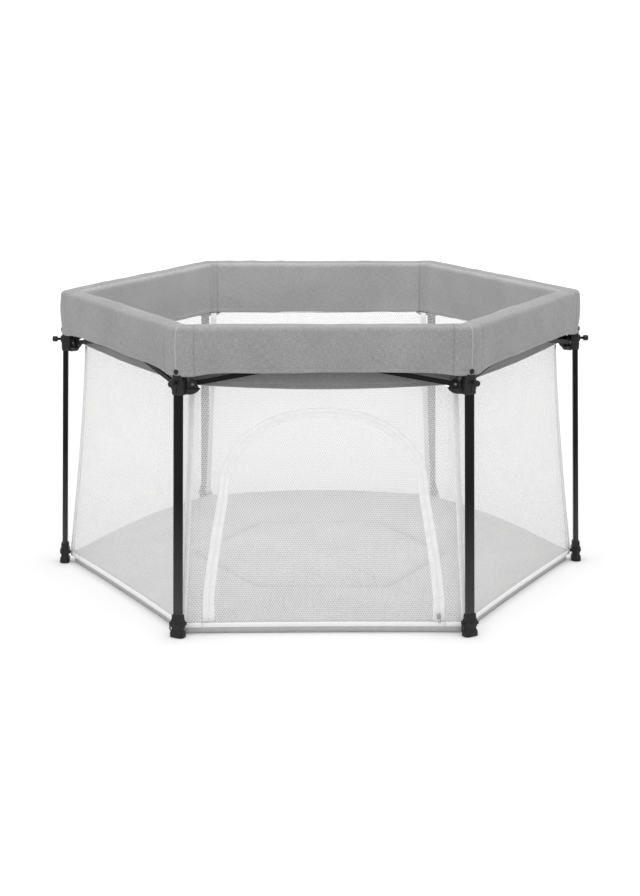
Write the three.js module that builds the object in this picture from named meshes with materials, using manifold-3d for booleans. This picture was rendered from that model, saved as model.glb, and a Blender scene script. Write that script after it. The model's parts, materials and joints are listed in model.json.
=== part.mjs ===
// Travel play yard: a six-sided pop-up frame of slim legs, joined at the top by a
// scissor pair of bars on each side, with a fabric rail cover, mesh walls with a
// zipped door, and a folding floor mat.
// Millimetres, +Z up. The origin is on the floor, at the centre of the hexagon.
// Corner k stands at k * 60 degrees from +X; side k runs from corner k to corner k + 1.

import * as THREE from 'three';
import { mergeVertices } from 'three/addons/utils/BufferGeometryUtils.js';
import Module from 'manifold-3d';

const wasm = await Module();
wasm.setup();

// Overall frame
const SIXTH = Math.PI / 3;
const COS30 = Math.cos(SIXTH / 2);
const TAN30 = Math.tan(SIXTH / 2);
const CORNERS = ['right', 'back_right', 'back_left', 'left', 'front_left', 'front_right'];
const SIDES = ['right_rear', 'rear', 'left_rear', 'left_front', 'front', 'right_front'];
const FRONT_SIDE = SIDES.indexOf('front');
const GAP = 0.3;

// Legs: a flat-oval tube that leans out to its foot from a pin at the hub
const LEG_RADIUS = 600;
const LEG_LEAN = 0.038;
const LEG_LEAN_FOLDED = 0.005;
const LEG_WIDTH = 22;
const LEG_DEPTH = 12;
const LEG_WALL = 1.2;
const LEG_HINGE_Z = 622;
const LEG_BOTTOM_Z = 18;

// Scissor bars: they work in the sides of a slightly smaller hexagon
const HUB_PIVOT_Z = 645;
const SLIDER_PIVOT_Z = 545;
const PIVOT_RADIUS = 594;
const PIVOT_INSET = 24;
const BAR_HEIGHT = 10;
const BAR_THICKNESS = 5;
const BAR_END_RADIUS = 7;
const EAR_THICKNESS = 6;
const EAR_RADIUS = 9.5;
const PIN_RADIUS = 2.4;
const PIN_HOLE_RADIUS = 2.75;
const PIN_HEAD_RADIUS = 4.2;
const PIN_HEAD_HEIGHT = 1.3;
const LEG_HINGE_RADIUS = LEG_RADIUS + (HUB_PIVOT_Z - LEG_HINGE_Z) * Math.tan(LEG_LEAN);
const SCISSOR_SPAN = PIVOT_RADIUS - 2 * PIVOT_INSET;
const SCISSOR_RISE = HUB_PIVOT_Z - SLIDER_PIVOT_Z;
const BAR_LENGTH = Math.hypot(SCISSOR_SPAN, SCISSOR_RISE);
const OPEN_ANGLE = Math.atan2(SCISSOR_RISE, SCISSOR_SPAN);
const FOLDED_ANGLE = THREE.MathUtils.degToRad(85);

// Hubs, sliders and release knobs
const HUB_BODY = { inner: -16, outer: 7.5, halfWidth: 13, bottom: LEG_HINGE_Z + 0.8, top: 660 };
const SPIGOT = { depth: 8, width: 18, length: 16 };
const SLIDER_BODY = { bottom: 524, shoulder: 560, top: 568, wall: 3, halfWidth: 15 };
const SLIDER_SLEEVE = { bottom: 556, step: 2 };
const SLIDER_WEB = { inner: 586, halfWidth: 11, top: 552 };
const SLIDER_CLEARANCE = 0.5;
const KNOB_Z = 551;
const KNOB = { stemRadius: 3, headRadius: 6.5, headLength: 12, stemLength: 6.5 };
const KNOB_BOSS = { radius: 8, length: 3 };

// Feet, from the floor up: width along the wall, depth from front to back
const FOOT_BASE = { width: 34, depth: 23, bottom: 0, top: 15, corner: 8 };
const FOOT_NECK = { width: 27, depth: 18, bottom: 12, top: 24, corner: 6 };
const FOOT_COLLAR = { width: 30, depth: 20, bottom: 21, top: 38, corner: 5 };
const FOOT_TOP = { width: 26, depth: 18, bottom: 36, top: 49, corner: 6 };
const FOOT_LOOP = { reach: 6.4, bottom: 10, top: 32, bar: 2.4, thickness: 4 };
const FOOT_TOOTH = { length: 4, bottom: 22, top: 29, width: 8 };

// Rail cover: an upside-down channel of padded fabric, open underneath
const RAIL = { outer: 534, inner: 483.5, top: 667, outerBottom: 572, innerBottom: 537, cloth: 2.6 };

// Mesh walls: they lean out to the feet, and their hem stands a little above the floor
const WALL = { top: 536, bottom: 15, thickness: 2.4 };
const WALL_CORNER_TOP = 557;
const WALL_CORNER_FLARE = 50;
const WALL_FLARE_HEIGHT = 500;
const WALL_FLARE_POWER = 1.25;
const WALL_MIDDLE_TOP = 492;
const WALL_MIDDLE_BOTTOM = 522;
const WALL_BOW_POWER = 2.3;
const WALL_COLUMNS = 12;
const WALL_COLUMN_POWER = 0.75;
const WALL_LEVELS = [WALL.bottom, 40, 100, 190, 300, 420, WALL.top];

// Door: an arch cut in the front wall, with a zip round its edge
const DOOR = { bottomHalf: 247, springHalf: 213, sill: 28, spring: 300, top: 490, gap: 0.6 };

// Floor mat: three four-sided leaves, each hinged at its own corner
const MAT = { bottom: 3, top: 28, wallGap: 3.4, seam: 0.5, tipCut: 9 };

// Zip: the slider body rides outside the wall at the right foot of the arch
const ZIP_SLIDER = { x: 246, z: 39, width: 9, height: 13, depth: 4.6, stand: 2.4 };
const ZIP_TAB = { width: 8, height: 19, thickness: 1.5, eyeWidth: 4.4, eyeHeight: 5.6, eyeInset: 4 };
const ZIP_LEAN = (DOOR.bottomHalf - DOOR.springHalf) / (DOOR.spring - DOOR.sill);

// Colours and finishes
const finish = (color, roughness, metalness = 0) => (
  new THREE.MeshStandardMaterial({ color, roughness, metalness }));
const FRAME_BLACK = finish(0x232325, 0.45);
const LEG_BLACK = finish(0x1d1d1f, 0.35, 0.4);
const RAIL_GREY = finish(0x8f9093, 0.9);
const MESH_WHITE = finish(0xf2f2f2, 0.9);
const MAT_GREY = finish(0xc9c9c9, 0.9);
const ZIP_GREY = finish(0xb9bbbd, 0.5);

// Solids and geometry

function toSolid(geometry) {
  const bare = geometry.clone();
  bare.deleteAttribute('normal');
  bare.deleteAttribute('uv');
  const merged = mergeVertices(bare, 1e-4);
  const mesh = new wasm.Mesh({
    numProp: 3,
    vertProperties: new Float32Array(merged.attributes.position.array),
    triVerts: new Uint32Array(merged.index.array),
  });
  return new wasm.Manifold(mesh);
}

function toGeometry(solid) {
  const mesh = solid.getMesh();
  const geometry = new THREE.BufferGeometry();
  geometry.setAttribute('position', new THREE.BufferAttribute(mesh.vertProperties, 3));
  geometry.setIndex(new THREE.BufferAttribute(mesh.triVerts, 1));
  geometry.computeVertexNormals();
  return geometry;
}

const join = (geometries) => geometries.map(toSolid).reduce((sum, solid) => sum.add(solid));

const cut = (solid, geometries) => (
  geometries.map(toSolid).reduce((rest, tool) => rest.subtract(tool), solid));

function roundedRectangle(width, height, radius) {
  const x = width / 2;
  const y = height / 2;
  const shape = new THREE.Shape();
  shape.moveTo(-x + radius, -y);
  shape.lineTo(x - radius, -y);
  shape.absarc(x - radius, -y + radius, radius, -Math.PI / 2, 0);
  shape.lineTo(x, y - radius);
  shape.absarc(x - radius, y - radius, radius, 0, Math.PI / 2);
  shape.lineTo(-x + radius, y);
  shape.absarc(-x + radius, y - radius, radius, Math.PI / 2, Math.PI);
  shape.lineTo(-x, -y + radius);
  shape.absarc(-x + radius, -y + radius, radius, Math.PI, Math.PI * 1.5);
  return shape;
}

function extrude(shape, depth, steps = 2) {
  return new THREE.ExtrudeGeometry(shape, { depth, bevelEnabled: false, curveSegments: steps });
}

// An upright block with rounded corners: depth along X, width along Y
function upright({ width, depth, bottom, top, corner }, steps = 1) {
  const block = extrude(roundedRectangle(depth, width, corner), top - bottom, steps);
  return block.translate(0, 0, bottom);
}

function box(x0, x1, y0, y1, z0, z1) {
  const block = new THREE.BoxGeometry(x1 - x0, y1 - y0, z1 - z0);
  return block.translate((x0 + x1) / 2, (y0 + y1) / 2, (z0 + z1) / 2);
}

// A disc or pin along the Z axis, between two heights
function disc(x, y, radius, z0, z1, segments) {
  const cylinder = new THREE.CylinderGeometry(radius, radius, z1 - z0, segments);
  return cylinder.rotateX(Math.PI / 2).translate(x, y, (z0 + z1) / 2);
}

// Scissor geometry

// How far the leg's axis wanders inside the slider, from open to folded
function legWander() {
  const halfHeight = (SLIDER_BODY.top - SLIDER_BODY.bottom) / 2;
  const radii = [];
  for (let step = 0; step <= 20; step += 1) {
    const share = step / 20;
    const angle = THREE.MathUtils.lerp(OPEN_ANGLE, FOLDED_ANGLE, share);
    const lean = THREE.MathUtils.lerp(LEG_LEAN, LEG_LEAN_FOLDED, share);
    const drop = BAR_LENGTH * Math.sin(angle) - (HUB_PIVOT_Z - LEG_HINGE_Z);
    [-halfHeight, halfHeight].forEach((end) => {
      radii.push(LEG_HINGE_RADIUS + (drop + end) * Math.tan(lean));
    });
  }
  return { inner: Math.min(...radii), outer: Math.max(...radii) };
}

// Puts a profile drawn along one side of a corner (x along the side, y up) in place.
// Both sides of a corner get the same right-handed frame, turned the other way.
function onSide(geometry, turn) {
  const along = new THREE.Vector3(-0.5, turn * COS30, 0);
  const up = new THREE.Vector3(0, 0, 1);
  const across = new THREE.Vector3().crossVectors(along, up);
  const place = new THREE.Matrix4().makeBasis(along, up, across);
  place.setPosition(PIVOT_RADIUS, 0, 0);
  return geometry.applyMatrix4(place);
}

// A pin through one bar, with its head, on the side of the ear that +1 or -1 names
function pivotPin(z, towards) {
  const face = EAR_THICKNESS / 2 + GAP + BAR_THICKNESS + GAP;
  const reach = disc(PIVOT_INSET, z, PIN_RADIUS, 0, face + 0.5, 8);
  const head = disc(PIVOT_INSET, z, PIN_HEAD_RADIUS, face, face + PIN_HEAD_HEIGHT, 10);
  const parts = [reach, head];
  if (towards < 0) {
    parts.forEach((part) => part.rotateX(Math.PI).translate(0, 2 * z, 0));
  }
  return parts;
}

function earPlate(profile) {
  return extrude(profile, EAR_THICKNESS, 2).translate(0, 0, -EAR_THICKNESS / 2);
}

// Corner parts, drawn with X outwards from the centre of the play yard

function hubEar() {
  const profile = new THREE.Shape();
  profile.moveTo(-2, 628);
  profile.lineTo(12, 630);
  profile.absarc(PIVOT_INSET, HUB_PIVOT_Z, EAR_RADIUS, -Math.PI * 0.62, Math.PI * 0.55);
  profile.lineTo(8, 657);
  profile.lineTo(-2, 657);
  return profile;
}

function makeHub() {
  const { inner, outer, halfWidth, bottom, top } = HUB_BODY;
  const body = upright({ width: 2 * halfWidth, depth: outer - inner, bottom, top, corner: 6 });
  body.translate(LEG_RADIUS + (outer + inner) / 2, 0, 0);
  const spigot = upright({ ...SPIGOT, bottom: -SPIGOT.length, top: 4, corner: 3.5 });
  spigot.rotateY(-(LEG_LEAN + LEG_LEAN_FOLDED) / 2);
  spigot.translate(LEG_HINGE_RADIUS, 0, LEG_HINGE_Z);
  const ears = [1, -1].flatMap((turn) => (
    [earPlate(hubEar()), ...pivotPin(HUB_PIVOT_Z, 1)].map((piece) => onSide(piece, turn))));
  return toGeometry(join([body, spigot, ...ears]));
}

function sliderEar() {
  const profile = new THREE.Shape();
  profile.moveTo(-2, SLIDER_BODY.bottom);
  profile.lineTo(8, SLIDER_BODY.bottom);
  profile.absarc(PIVOT_INSET, SLIDER_PIVOT_Z, EAR_RADIUS, -Math.PI * 0.42, Math.PI * 0.5);
  profile.lineTo(19, SLIDER_PIVOT_Z + EAR_RADIUS);
  profile.quadraticCurveTo(12, 550, 10, SLIDER_SLEEVE.bottom);
  profile.lineTo(-2, SLIDER_SLEEVE.bottom);
  return profile;
}

function makeSlider(wander) {
  const { bottom, shoulder, top, wall, halfWidth } = SLIDER_BODY;
  const inner = wander.inner - LEG_DEPTH / 2 - SLIDER_CLEARANCE;
  const outer = wander.outer + LEG_DEPTH / 2 + SLIDER_CLEARANCE;
  const middle = (inner + outer) / 2;
  const depth = outer - inner;
  const full = { width: 2 * halfWidth, depth: depth + 2 * wall };
  const body = upright({ ...full, bottom, top: shoulder, corner: 6 });
  const sleeve = upright({
    width: full.width - 2 * SLIDER_SLEEVE.step, depth: full.depth - SLIDER_SLEEVE.step,
    bottom: SLIDER_SLEEVE.bottom, top, corner: 5,
  });
  const bore = upright({ width: LEG_WIDTH + 1.2, depth, bottom: bottom - 5, top: top + 5, corner: 4 });
  [body, sleeve, bore].forEach((block) => block.translate(middle, 0, 0));
  const bossFace = outer + wall + KNOB_BOSS.length;
  const boss = disc(0, 0, KNOB_BOSS.radius, outer + 1, bossFace, 14);
  const stemHole = disc(0, 0, KNOB.stemRadius + GAP, outer - 3, bossFace + 3, 10);
  [boss, stemHole].forEach((piece) => piece.rotateY(Math.PI / 2).translate(0, 0, KNOB_Z));
  const web = box(
    SLIDER_WEB.inner, inner, -SLIDER_WEB.halfWidth, SLIDER_WEB.halfWidth, bottom, SLIDER_WEB.top);
  const ears = [1, -1].flatMap((turn) => (
    [earPlate(sliderEar()), ...pivotPin(SLIDER_PIVOT_Z, -1)].map((piece) => onSide(piece, turn))));
  return toGeometry(cut(join([body, sleeve, web, boss, ...ears]), [bore, stemHole]));
}

// A turned knob on a short stem; its tip stops just clear of the leg
function makeKnob(wander) {
  const { stemRadius, headRadius, headLength, stemLength } = KNOB;
  const tip = wander.outer + LEG_DEPTH / 2 + SLIDER_CLEARANCE;
  const profile = [
    [0, 0], [stemRadius, 0], [stemRadius, stemLength], [headRadius, stemLength + 0.8],
    [headRadius, stemLength + headLength - 2], [headRadius - 1.8, stemLength + headLength],
    [0, stemLength + headLength],
  ].map(([radius, height]) => new THREE.Vector2(radius, height));
  const knob = new THREE.LatheGeometry(profile, 12);
  return toGeometry(toSolid(knob.rotateZ(-Math.PI / 2).translate(tip, 0, KNOB_Z)));
}

// Leg parts, drawn along the leg: Z runs down the tube from the pin at the hub

const LEG_LENGTH = LEG_HINGE_Z / Math.cos(LEG_LEAN);

function makeLegTube() {
  const outline = roundedRectangle(LEG_DEPTH, LEG_WIDTH, LEG_DEPTH / 2 - 0.2);
  const bore = roundedRectangle(
    LEG_DEPTH - 2 * LEG_WALL, LEG_WIDTH - 2 * LEG_WALL, LEG_DEPTH / 2 - LEG_WALL - 0.2);
  outline.holes.push(bore);
  const length = (LEG_HINGE_Z - LEG_BOTTOM_Z) / Math.cos(LEG_LEAN);
  return toGeometry(toSolid(extrude(outline, length).translate(0, 0, -length)));
}

function makeFoot() {
  const blocks = [{ ...FOOT_BASE, bottom: -2 }, FOOT_NECK, FOOT_COLLAR, FOOT_TOP];
  const stack = blocks.map((block) => upright(block));
  const side = FOOT_COLLAR.width / 2;
  const { reach, bottom, top, bar, thickness } = FOOT_LOOP;
  const loop = box(-thickness / 2, thickness / 2, -side - reach, -side + 3, bottom, top);
  const tooth = box(
    -FOOT_COLLAR.depth / 2 - FOOT_TOOTH.length, 0, -FOOT_TOOTH.width / 2, FOOT_TOOTH.width / 2,
    FOOT_TOOTH.bottom, FOOT_TOOTH.top);
  const eye = box(-thickness, thickness, -side - reach + bar, -side - 0.4, bottom + bar, top - bar);
  const socket = upright({
    width: LEG_WIDTH + 0.8, depth: LEG_DEPTH + 0.8,
    bottom: LEG_BOTTOM_Z - 1, top: FOOT_TOP.top + 5, corner: 5,
  });
  const ground = box(-60, 60, -60, 60, -40, 0).rotateY(LEG_LEAN);
  const foot = cut(join([...stack, loop, tooth]), [eye, socket, ground]);
  return toGeometry(foot).translate(0, 0, -LEG_LENGTH);
}

// Side parts, drawn from the middle of a side: X along it, Y outwards, Z up

const barOffset = (EAR_THICKNESS + BAR_THICKNESS) / 2 + GAP;

// One scissor bar, along X with its centre at the origin, flat between z0 and z1
function barBlank(z0, z1) {
  const half = BAR_LENGTH / 2;
  const strip = box(-half, half, -BAR_HEIGHT / 2, BAR_HEIGHT / 2, z0, z1);
  const pads = [-half, 0, half].map((x) => disc(x, 0, BAR_END_RADIUS, z0, z1, 12));
  return join([strip, ...pads]);
}

function endHoles(z0, z1) {
  return [-BAR_LENGTH / 2, BAR_LENGTH / 2].map((x) => disc(x, 0, PIN_HOLE_RADIUS, z0 - 1, z1 + 1, 8));
}

// The outer bar carries the centre pin, which passes through the inner bar
function makeOuterBar() {
  const z0 = barOffset - BAR_THICKNESS / 2;
  const z1 = z0 + BAR_THICKNESS;
  const pin = disc(0, 0, PIN_RADIUS, -z1 - GAP - 0.5, z0 + 1, 8);
  const head = disc(0, 0, PIN_HEAD_RADIUS, -z1 - GAP - PIN_HEAD_HEIGHT, -z1 - GAP, 12);
  return toGeometry(cut(barBlank(z0, z1), endHoles(z0, z1)).add(join([pin, head])));
}

function makeInnerBar() {
  const z1 = -(barOffset - BAR_THICKNESS / 2);
  const z0 = z1 - BAR_THICKNESS;
  const centreHole = disc(0, 0, PIN_HOLE_RADIUS, z0 - 1, z1 + 1, 8);
  return toGeometry(cut(barBlank(z0, z1), [...endHoles(z0, z1), centreHole]));
}

// A closed solid from rows of points: each row is a closed ring of the section
function loft(rings) {
  const size = rings[0].length;
  const positions = rings.flat().flatMap((point) => [point.x, point.y, point.z]);
  const index = [];
  for (let ring = 0; ring + 1 < rings.length; ring += 1) {
    for (let i = 0; i < size; i += 1) {
      const a = ring * size + i;
      const b = ring * size + ((i + 1) % size);
      index.push(a, b, a + size, b, b + size, a + size);
    }
  }
  const last = (rings.length - 1) * size;
  const flat = rings[0].map((point) => new THREE.Vector2(point.sectionX, point.sectionY));
  THREE.ShapeUtils.triangulateShape(flat, []).forEach(([a, b, c]) => {
    index.push(a, c, b);
    index.push(last + a, last + b, last + c);
  });
  const geometry = new THREE.BufferGeometry();
  geometry.setAttribute('position', new THREE.Float32BufferAttribute(positions, 3));
  geometry.setIndex(index);
  geometry.computeVertexNormals();
  return geometry;
}

// The rail cover of one side, mitred at both corners
function makeRail() {
  const { outer, inner, top, outerBottom, innerBottom, cloth } = RAIL;
  const section = [
    [inner, innerBottom], [inner + cloth, innerBottom], [inner + cloth, top - cloth],
    [outer - cloth, top - cloth], [outer - cloth, outerBottom], [outer, outerBottom],
    [outer, top], [inner, top],
  ];
  const ring = (end) => section.map(([across, up]) => Object.assign(
    new THREE.Vector3(end * (across * TAN30 - GAP), across, up), { sectionX: across, sectionY: up }));
  return loft([ring(-1), ring(1)]);
}

// Distance of the wall's middle surface from the centre, at u = -1..1 along a side
function wallDistance(u, z) {
  const flare = Math.min(1, (WALL.top - z) / WALL_FLARE_HEIGHT);
  const corner = (WALL_CORNER_TOP + WALL_CORNER_FLARE * flare ** WALL_FLARE_POWER) * COS30;
  const middle = THREE.MathUtils.lerp(WALL_MIDDLE_TOP, WALL_MIDDLE_BOTTOM, 1 - z / WALL.top);
  return middle + (corner - middle) * Math.abs(u) ** WALL_BOW_POWER;
}

function wallPoint(u, z, offset) {
  const end = wallDistance(1, z) + offset;
  return new THREE.Vector3(u * (end * TAN30 - GAP), wallDistance(u, z) + offset, z);
}

// Places along a side, closer together near the corners, where it bends most
function wallColumns() {
  return Array.from({ length: WALL_COLUMNS + 1 }, (_, i) => {
    const u = (2 * i) / WALL_COLUMNS - 1;
    return Math.sign(u) * Math.abs(u) ** WALL_COLUMN_POWER;
  });
}

function makeWall() {
  const half = WALL.thickness / 2;
  const outside = WALL_LEVELS.map((z) => [z, half]);
  const lines = [...outside, ...outside.toReversed().map(([z]) => [z, -half])];
  const rings = wallColumns().map((u) => lines.map(([z, offset]) => (
    Object.assign(wallPoint(u, z, offset), { sectionX: offset, sectionY: z }))));
  return loft(rings);
}

// The door's outline, in by a margin from the middle of the zip
function doorOutline(margin) {
  const { bottomHalf, springHalf, sill, spring, top } = DOOR;
  const shape = new THREE.Shape();
  shape.moveTo(-bottomHalf + margin, sill + margin);
  shape.lineTo(bottomHalf - margin, sill + margin);
  shape.lineTo(springHalf - margin, spring);
  shape.absellipse(0, spring, springHalf - margin, top - spring - margin, 0, Math.PI);
  return shape;
}

function doorPrism(margin) {
  const prism = extrude(doorOutline(margin), 120, 8);
  return prism.rotateX(Math.PI / 2).translate(0, RAIL.outer + 20, 0);
}

const makeFrontWall = () => toGeometry(cut(toSolid(makeWall()), [doorPrism(0)]));

const makeDoor = () => toGeometry(toSolid(makeWall()).intersect(toSolid(doorPrism(DOOR.gap))));

// One leaf of the floor mat, drawn at corner 0: from the centre out to three corners
function makeMatLeaf() {
  const inset = WALL.thickness / 2 + MAT.wallGap;
  const edge = (side) => wallColumns().toReversed().map((u) => {
    const point = wallPoint(u, MAT.bottom, -inset);
    return new THREE.Vector2(point.x, point.y).rotateAround(new THREE.Vector2(), (side - 1) * SIXTH);
  });
  const points = [-1, 0].flatMap(edge);
  const leaf = new THREE.Shape();
  leaf.moveTo(MAT.seam * 1.2, 0);
  points.forEach((point) => leaf.lineTo(point.x, point.y));
  return toGeometry(cut(toSolid(extrude(leaf, MAT.top - MAT.bottom)), matTrims()));
}

// Trims the leaf along its two seams and at its three narrow tips
function matTrims() {
  const tip = WALL_CORNER_TOP + WALL_CORNER_FLARE - MAT.tipCut;
  const slab = (x0, x1, y0, y1) => box(x0, x1, y0, y1, -5, MAT.top + 5);
  const tips = [0, SIXTH, -SIXTH].map((angle) => slab(tip, tip + 80, -80, 80).rotateZ(angle));
  const seams = [SIXTH, -SIXTH].map((angle) => (
    slab(-40, 800, -MAT.seam / 2, MAT.seam / 2).rotateZ(angle)));
  return [...tips, ...seams];
}

function makeZipSlider() {
  const { width, height, depth } = ZIP_SLIDER;
  const shell = extrude(roundedRectangle(width, height, 3), depth, 2);
  const bridge = box(-1.5, 1.5, -height / 2 + 3, height / 2 - 2, depth - 1, depth + 4.2);
  const eye = box(-3, 3, -height / 2 + 4.6, height / 2 - 3.6, depth, depth + 2.6);
  return toGeometry(cut(join([shell, bridge]), [eye]));
}

function makeZipTab() {
  const outline = roundedRectangle(ZIP_TAB.width, ZIP_TAB.height, 3);
  const eye = roundedRectangle(ZIP_TAB.eyeWidth, ZIP_TAB.eyeHeight, 1).getPoints(2);
  eye.forEach((point) => { point.y += ZIP_TAB.height / 2 - ZIP_TAB.eyeInset; });
  outline.holes.push(new THREE.Path(eye));
  return toGeometry(toSolid(extrude(outline, ZIP_TAB.thickness)));
}

// Assembly

const playYard = new THREE.Group();
playYard.name = 'travel_play_yard';

function add(parent, name, geometry, material) {
  const mesh = new THREE.Mesh(geometry, material);
  mesh.name = name;
  parent.add(mesh);
  return mesh;
}

const wander = legWander();
const hub = makeHub();
const slider = makeSlider(wander);
const knob = makeKnob(wander);
const legTube = makeLegTube();
const foot = makeFoot();

CORNERS.forEach((name, k) => {
  const corner = new THREE.Group();
  corner.rotation.z = k * SIXTH;
  playYard.add(corner);
  add(corner, `hub_${name}`, hub, FRAME_BLACK);
  add(corner, `slider_${name}`, slider, FRAME_BLACK);
  add(corner, `knob_${name}`, knob, FRAME_BLACK);
  const leg = new THREE.Group();
  leg.position.set(LEG_HINGE_RADIUS, 0, LEG_HINGE_Z);
  leg.rotation.y = -LEG_LEAN;
  corner.add(leg);
  add(leg, `leg_tube_${name}`, legTube, LEG_BLACK);
  add(leg, `foot_${name}`, foot, FRAME_BLACK);
});

// A side's group has X from corner k to corner k + 1, Y outwards
const outerBar = makeOuterBar();
const innerBar = makeInnerBar();
const rail = makeRail();
const wall = makeWall();

SIDES.forEach((name, k) => {
  const side = new THREE.Group();
  side.rotation.z = k * SIXTH + SIXTH / 2 - Math.PI / 2;
  playYard.add(side);
  const bars = new THREE.Group();
  bars.position.set(0, PIVOT_RADIUS * COS30, (HUB_PIVOT_Z + SLIDER_PIVOT_Z) / 2);
  bars.rotation.set(Math.PI / 2, Math.PI, 0);
  side.add(bars);
  add(bars, `outer_bar_${name}`, outerBar, LEG_BLACK).rotation.z = -OPEN_ANGLE;
  add(bars, `inner_bar_${name}`, innerBar, LEG_BLACK).rotation.z = OPEN_ANGLE;
  add(side, `rail_cover_${name}`, rail, RAIL_GREY);
  const isFront = k === FRONT_SIDE;
  add(side, `mesh_wall_${name}`, isFront ? makeFrontWall() : wall, MESH_WHITE);
  if (isFront) {
    add(side, 'door_flap', makeDoor(), MESH_WHITE);
    addZip(side);
  }
});

// The zip slider leans with the edge of the door; its tab hangs from the bridge
function addZip(side) {
  const { x, z, depth, stand, height } = ZIP_SLIDER;
  const u = x / (wallDistance(1, z) * TAN30);
  const zip = new THREE.Group();
  zip.position.set(-x, wallDistance(u, z) + WALL.thickness / 2 + stand, z);
  zip.rotation.set(Math.PI / 2, Math.PI, 0);
  side.add(zip);
  const lean = new THREE.Group();
  lean.rotation.z = ZIP_LEAN;
  zip.add(lean);
  add(lean, 'zip_slider', makeZipSlider(), ZIP_GREY);
  const tab = add(lean, 'zip_tab', makeZipTab(), ZIP_GREY);
  tab.position.set(0, -height / 2 - 2, depth + 0.4);
}

const mat = makeMatLeaf();
['right', 'back_left', 'front_left'].forEach((name) => {
  const leaf = new THREE.Group();
  leaf.rotation.z = CORNERS.indexOf(name) * SIXTH;
  playYard.add(leaf);
  add(leaf, `mat_leaf_${name}`, mat, MAT_GREY).position.z = MAT.bottom;
});

export default playYard;
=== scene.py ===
# Looks for the travel play yard: fabric, mesh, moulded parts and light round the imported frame.
# Metres, +Z up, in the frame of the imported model. Corner k stands at k * 60 degrees from +X,
# and side k runs from corner k to corner k + 1.

import json
import math

import bmesh
import bpy
import numpy as np
from mathutils import Matrix, Vector, noise


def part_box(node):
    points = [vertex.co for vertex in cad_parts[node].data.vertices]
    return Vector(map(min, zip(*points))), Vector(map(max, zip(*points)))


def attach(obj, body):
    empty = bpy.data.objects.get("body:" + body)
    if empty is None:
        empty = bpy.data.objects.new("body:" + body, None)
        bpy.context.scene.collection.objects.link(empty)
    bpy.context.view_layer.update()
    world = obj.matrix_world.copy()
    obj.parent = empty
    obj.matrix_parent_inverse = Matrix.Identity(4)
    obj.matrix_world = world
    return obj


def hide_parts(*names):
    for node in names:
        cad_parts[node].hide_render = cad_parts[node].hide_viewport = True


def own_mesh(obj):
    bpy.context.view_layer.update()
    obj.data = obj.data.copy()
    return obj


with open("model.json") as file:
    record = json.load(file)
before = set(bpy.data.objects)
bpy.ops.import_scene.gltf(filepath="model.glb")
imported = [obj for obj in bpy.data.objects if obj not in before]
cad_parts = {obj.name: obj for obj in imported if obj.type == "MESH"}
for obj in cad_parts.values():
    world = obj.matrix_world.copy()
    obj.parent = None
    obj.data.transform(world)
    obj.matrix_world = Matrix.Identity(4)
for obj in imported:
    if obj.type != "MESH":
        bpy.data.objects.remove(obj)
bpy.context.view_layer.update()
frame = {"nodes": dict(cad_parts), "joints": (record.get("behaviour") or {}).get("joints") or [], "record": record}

# ---------------------------------------------------------------- sizes from the frame

MM = 0.001
CORNERS = ["right", "back_right", "back_left", "left", "front_left", "front_right"]
SIDES = ["right_rear", "rear", "left_rear", "left_front", "front", "right_front"]
FRONT = SIDES.index("front")
SIXTH = math.radians(60)
COS30 = math.cos(SIXTH / 2)
TAN30 = math.tan(SIXTH / 2)
QUARTER = math.radians(90)


def joint(name):
    return next(j for j in frame["joints"] if j["name"] == name)


def mount_point(name):
    return next(m for m in frame["record"]["mounts"] if m["name"] == name)["pos_m"]


hub_pin = Vector(joint("fold")["pos_m"])
far_pin = Vector(joint("corner_right_pivot")["pos_m"])
slider_pin = Vector(joint("slider_right_pivot")["pos_m"])
leg_hinge = joint("leg_right_lean")["pos_m"]

SCISSOR_SPAN = (far_pin - hub_pin).length
SCISSOR_RISE = far_pin.z - slider_pin.z
BAR_LENGTH = math.hypot(SCISSOR_SPAN, SCISSOR_RISE)
OPEN_ANGLE = math.atan2(SCISSOR_RISE, SCISSOR_SPAN)
FOLD_ANGLE = math.radians(max(joint("fold")["range_deg"]))

HUB_PIN_Z = hub_pin.z
SLIDER_PIN_Z = slider_pin.z
LEG_HINGE_RADIUS = leg_hinge[0]
LEG_HINGE_Z = leg_hinge[2]
FOOT_RADIUS = mount_point("foot_right_base")[0]
LEG_LEAN = math.atan2(FOOT_RADIUS - LEG_HINGE_RADIUS, LEG_HINGE_Z)
LEG_LENGTH = LEG_HINGE_Z / math.cos(LEG_LEAN)

rail_low, rail_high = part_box("rail_cover_front")
RAIL_OUTER = -rail_low.y
RAIL_INNER = -rail_high.y
RAIL_TOP = rail_high.z
RAIL_INNER_BOTTOM = rail_low.z
RAIL_OUTER_BOTTOM = RAIL_INNER_BOTTOM + 35 * MM
wall_low, wall_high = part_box("mesh_wall_front")
WALL_TOP = wall_high.z
WALL_BOTTOM = wall_low.z
mat_low, mat_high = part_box("mat_leaf_right")
MAT_BOTTOM = mat_low.z
MAT_TOP = mat_high.z
MAT_HEX = 304 * MM  # corner radius of the hexagon sewn into the mat

# ---------------------------------------------------------------- vectors and meshes


def along(k):
    """Unit vector along side k, from corner k to corner k + 1."""
    angle = (k + 0.5) * SIXTH
    return np.array([-math.sin(angle), math.cos(angle), 0.0])


def heading(angle):
    """Level unit vector at an angle from +X."""
    return np.array([math.cos(angle), math.sin(angle), 0.0])


def outward(k):
    """Unit vector out of side k."""
    return heading((k + 0.5) * SIXTH)


def radial(k):
    """Unit vector from the centre towards corner k."""
    return heading(k * SIXTH)


def bar_run(k, turn):
    """Unit vector from corner k along the side that turn +1 or -1 names."""
    return heading(k * SIXTH + turn * 2 * SIXTH)


def in_mm(pairs):
    """Pairs given in millimetres, in metres."""
    return [(a * MM, b * MM) for a, b in pairs]


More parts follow.
